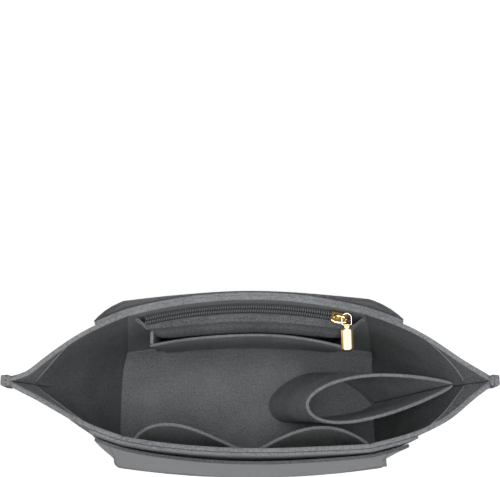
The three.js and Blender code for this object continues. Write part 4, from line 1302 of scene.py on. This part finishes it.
side_ys = np.linspace(0, bend_y, LINK_SIDE_STEPS)[1:-1]
wire += [(-radius, y, 0) for y in side_ys]
for start, x in ((180, LINK_BEND - radius), (270, radius - LINK_BEND)):
    for angle in np.radians(np.linspace(start, start + 90, BEND_STEPS)):
        wire.append((x + LINK_BEND * math.cos(angle), bend_y + LINK_BEND * math.sin(angle), 0))
wire += [(radius, y, 0) for y in side_ys[::-1]]
wire_sizes = (LINK_WIRE / 2, LINK_WIRE / 2)
# The link takes the paler gold: painted highlight.
link = rod("plated_wire_link", "link", wire, Vector((0, 0, 1)), wire_sizes, True, link_frame, pale_gold_painted_highlight)
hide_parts("pull_link")

# Pull tab: a flat plated plate with cut corners and wide bevels. Its narrow neck is rolled round
# the link's straight side.
PULL_WIDTH = 10.8
PULL_LENGTH = 27
PULL_THICKNESS = 1.8
PULL_BEVEL = 1.7
PULL_BEVEL_DEPTH = 0.6
PULL_CUT = 2.2
NECK_WIDTH = 5.2
NECK_LENGTH = 4.4
NECK_START = -1.0
SHOULDER_SLOPE = 1.1
PULL_DROP = 30
PULL_YAW = 15
EYE_ROOM = 0.4
EYE_WALL = 0.5
EYE_INSET = 0.15
EYE_TURN = 150
EYE_ROWS = 19
EYE_COLUMNS = 5
eye = LINK_WIRE / 2 + SEAT_GAP + EYE_ROOM
tab_frame = link_frame @ Matrix.Translation((0, -straight, 0))
tab_frame = tab_frame @ Matrix.Rotation(math.radians(PULL_YAW - LINK_YAW), 4, "Z")
tab_frame = tab_frame @ Matrix.Rotation(math.radians(PULL_DROP - LINK_TILT), 4, "X")
half = PULL_WIDTH / 2
neck = NECK_WIDTH / 2
foot = eye - PULL_LENGTH
shoulder = eye - NECK_LENGTH
left_outline = [
    (-neck, NECK_START),
    (-neck, shoulder + SHOULDER_SLOPE),
    (-half, shoulder - SHOULDER_SLOPE),
    (-half, foot + PULL_CUT),
    (-half + PULL_CUT, foot),
]
outline = np.array(left_outline + [(-x, y) for x, y in left_outline[::-1]])
ahead = unit(np.roll(outline, -1, axis=0) - outline)
behind = np.roll(ahead, 1, axis=0)
inward = np.stack((-(ahead + behind)[:, 1], (ahead + behind)[:, 0]), axis=1)
inward /= (1 + (ahead * behind).sum(axis=1))[:, None]
face_z = PULL_THICKNESS / 2
side_z = face_z - PULL_BEVEL_DEPTH
vertices = []
for inset, z in ((PULL_BEVEL, -face_z), (0, -side_z), (0, side_z), (PULL_BEVEL, face_z)):
    for x, y in outline + inward * inset:
        vertices.append(tuple((tab_frame @ Vector((x, y, z))) / 1000))
around = len(outline)
faces = [tuple(range(around))[::-1], tuple(range(3 * around, 4 * around))]
for k in range(3):
    for i in range(around):
        j = (i + 1) % around
        faces.append((k * around + i, k * around + j, (k + 1) * around + j, (k + 1) * around + i))
pull = add_mesh("plated_pull_tab", vertices, faces, pale_gold_painted_highlight, gold)
# The flat faces take the paler gold, a painted highlight; the bevels and sides take the darker gold, a
# painted dark reflection.
pull.data.polygons.foreach_set("material_index", [0, 0] + [1] * (3 * around))
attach(pull, "tab")
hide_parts("pull_tab")
eye_radius = eye - EYE_INSET
rolled = []
for angle in np.radians(np.linspace(-EYE_TURN, EYE_TURN, EYE_ROWS)):
    y = eye_radius * math.cos(angle)
    z = eye_radius * math.sin(angle)
    rolled.append([(x, y, z) for x in np.linspace(-neck, neck, EYE_COLUMNS)])
plated("plated_pull_tab_eye", "tab", rolled, EYE_WALL, 0.15, tab_frame)
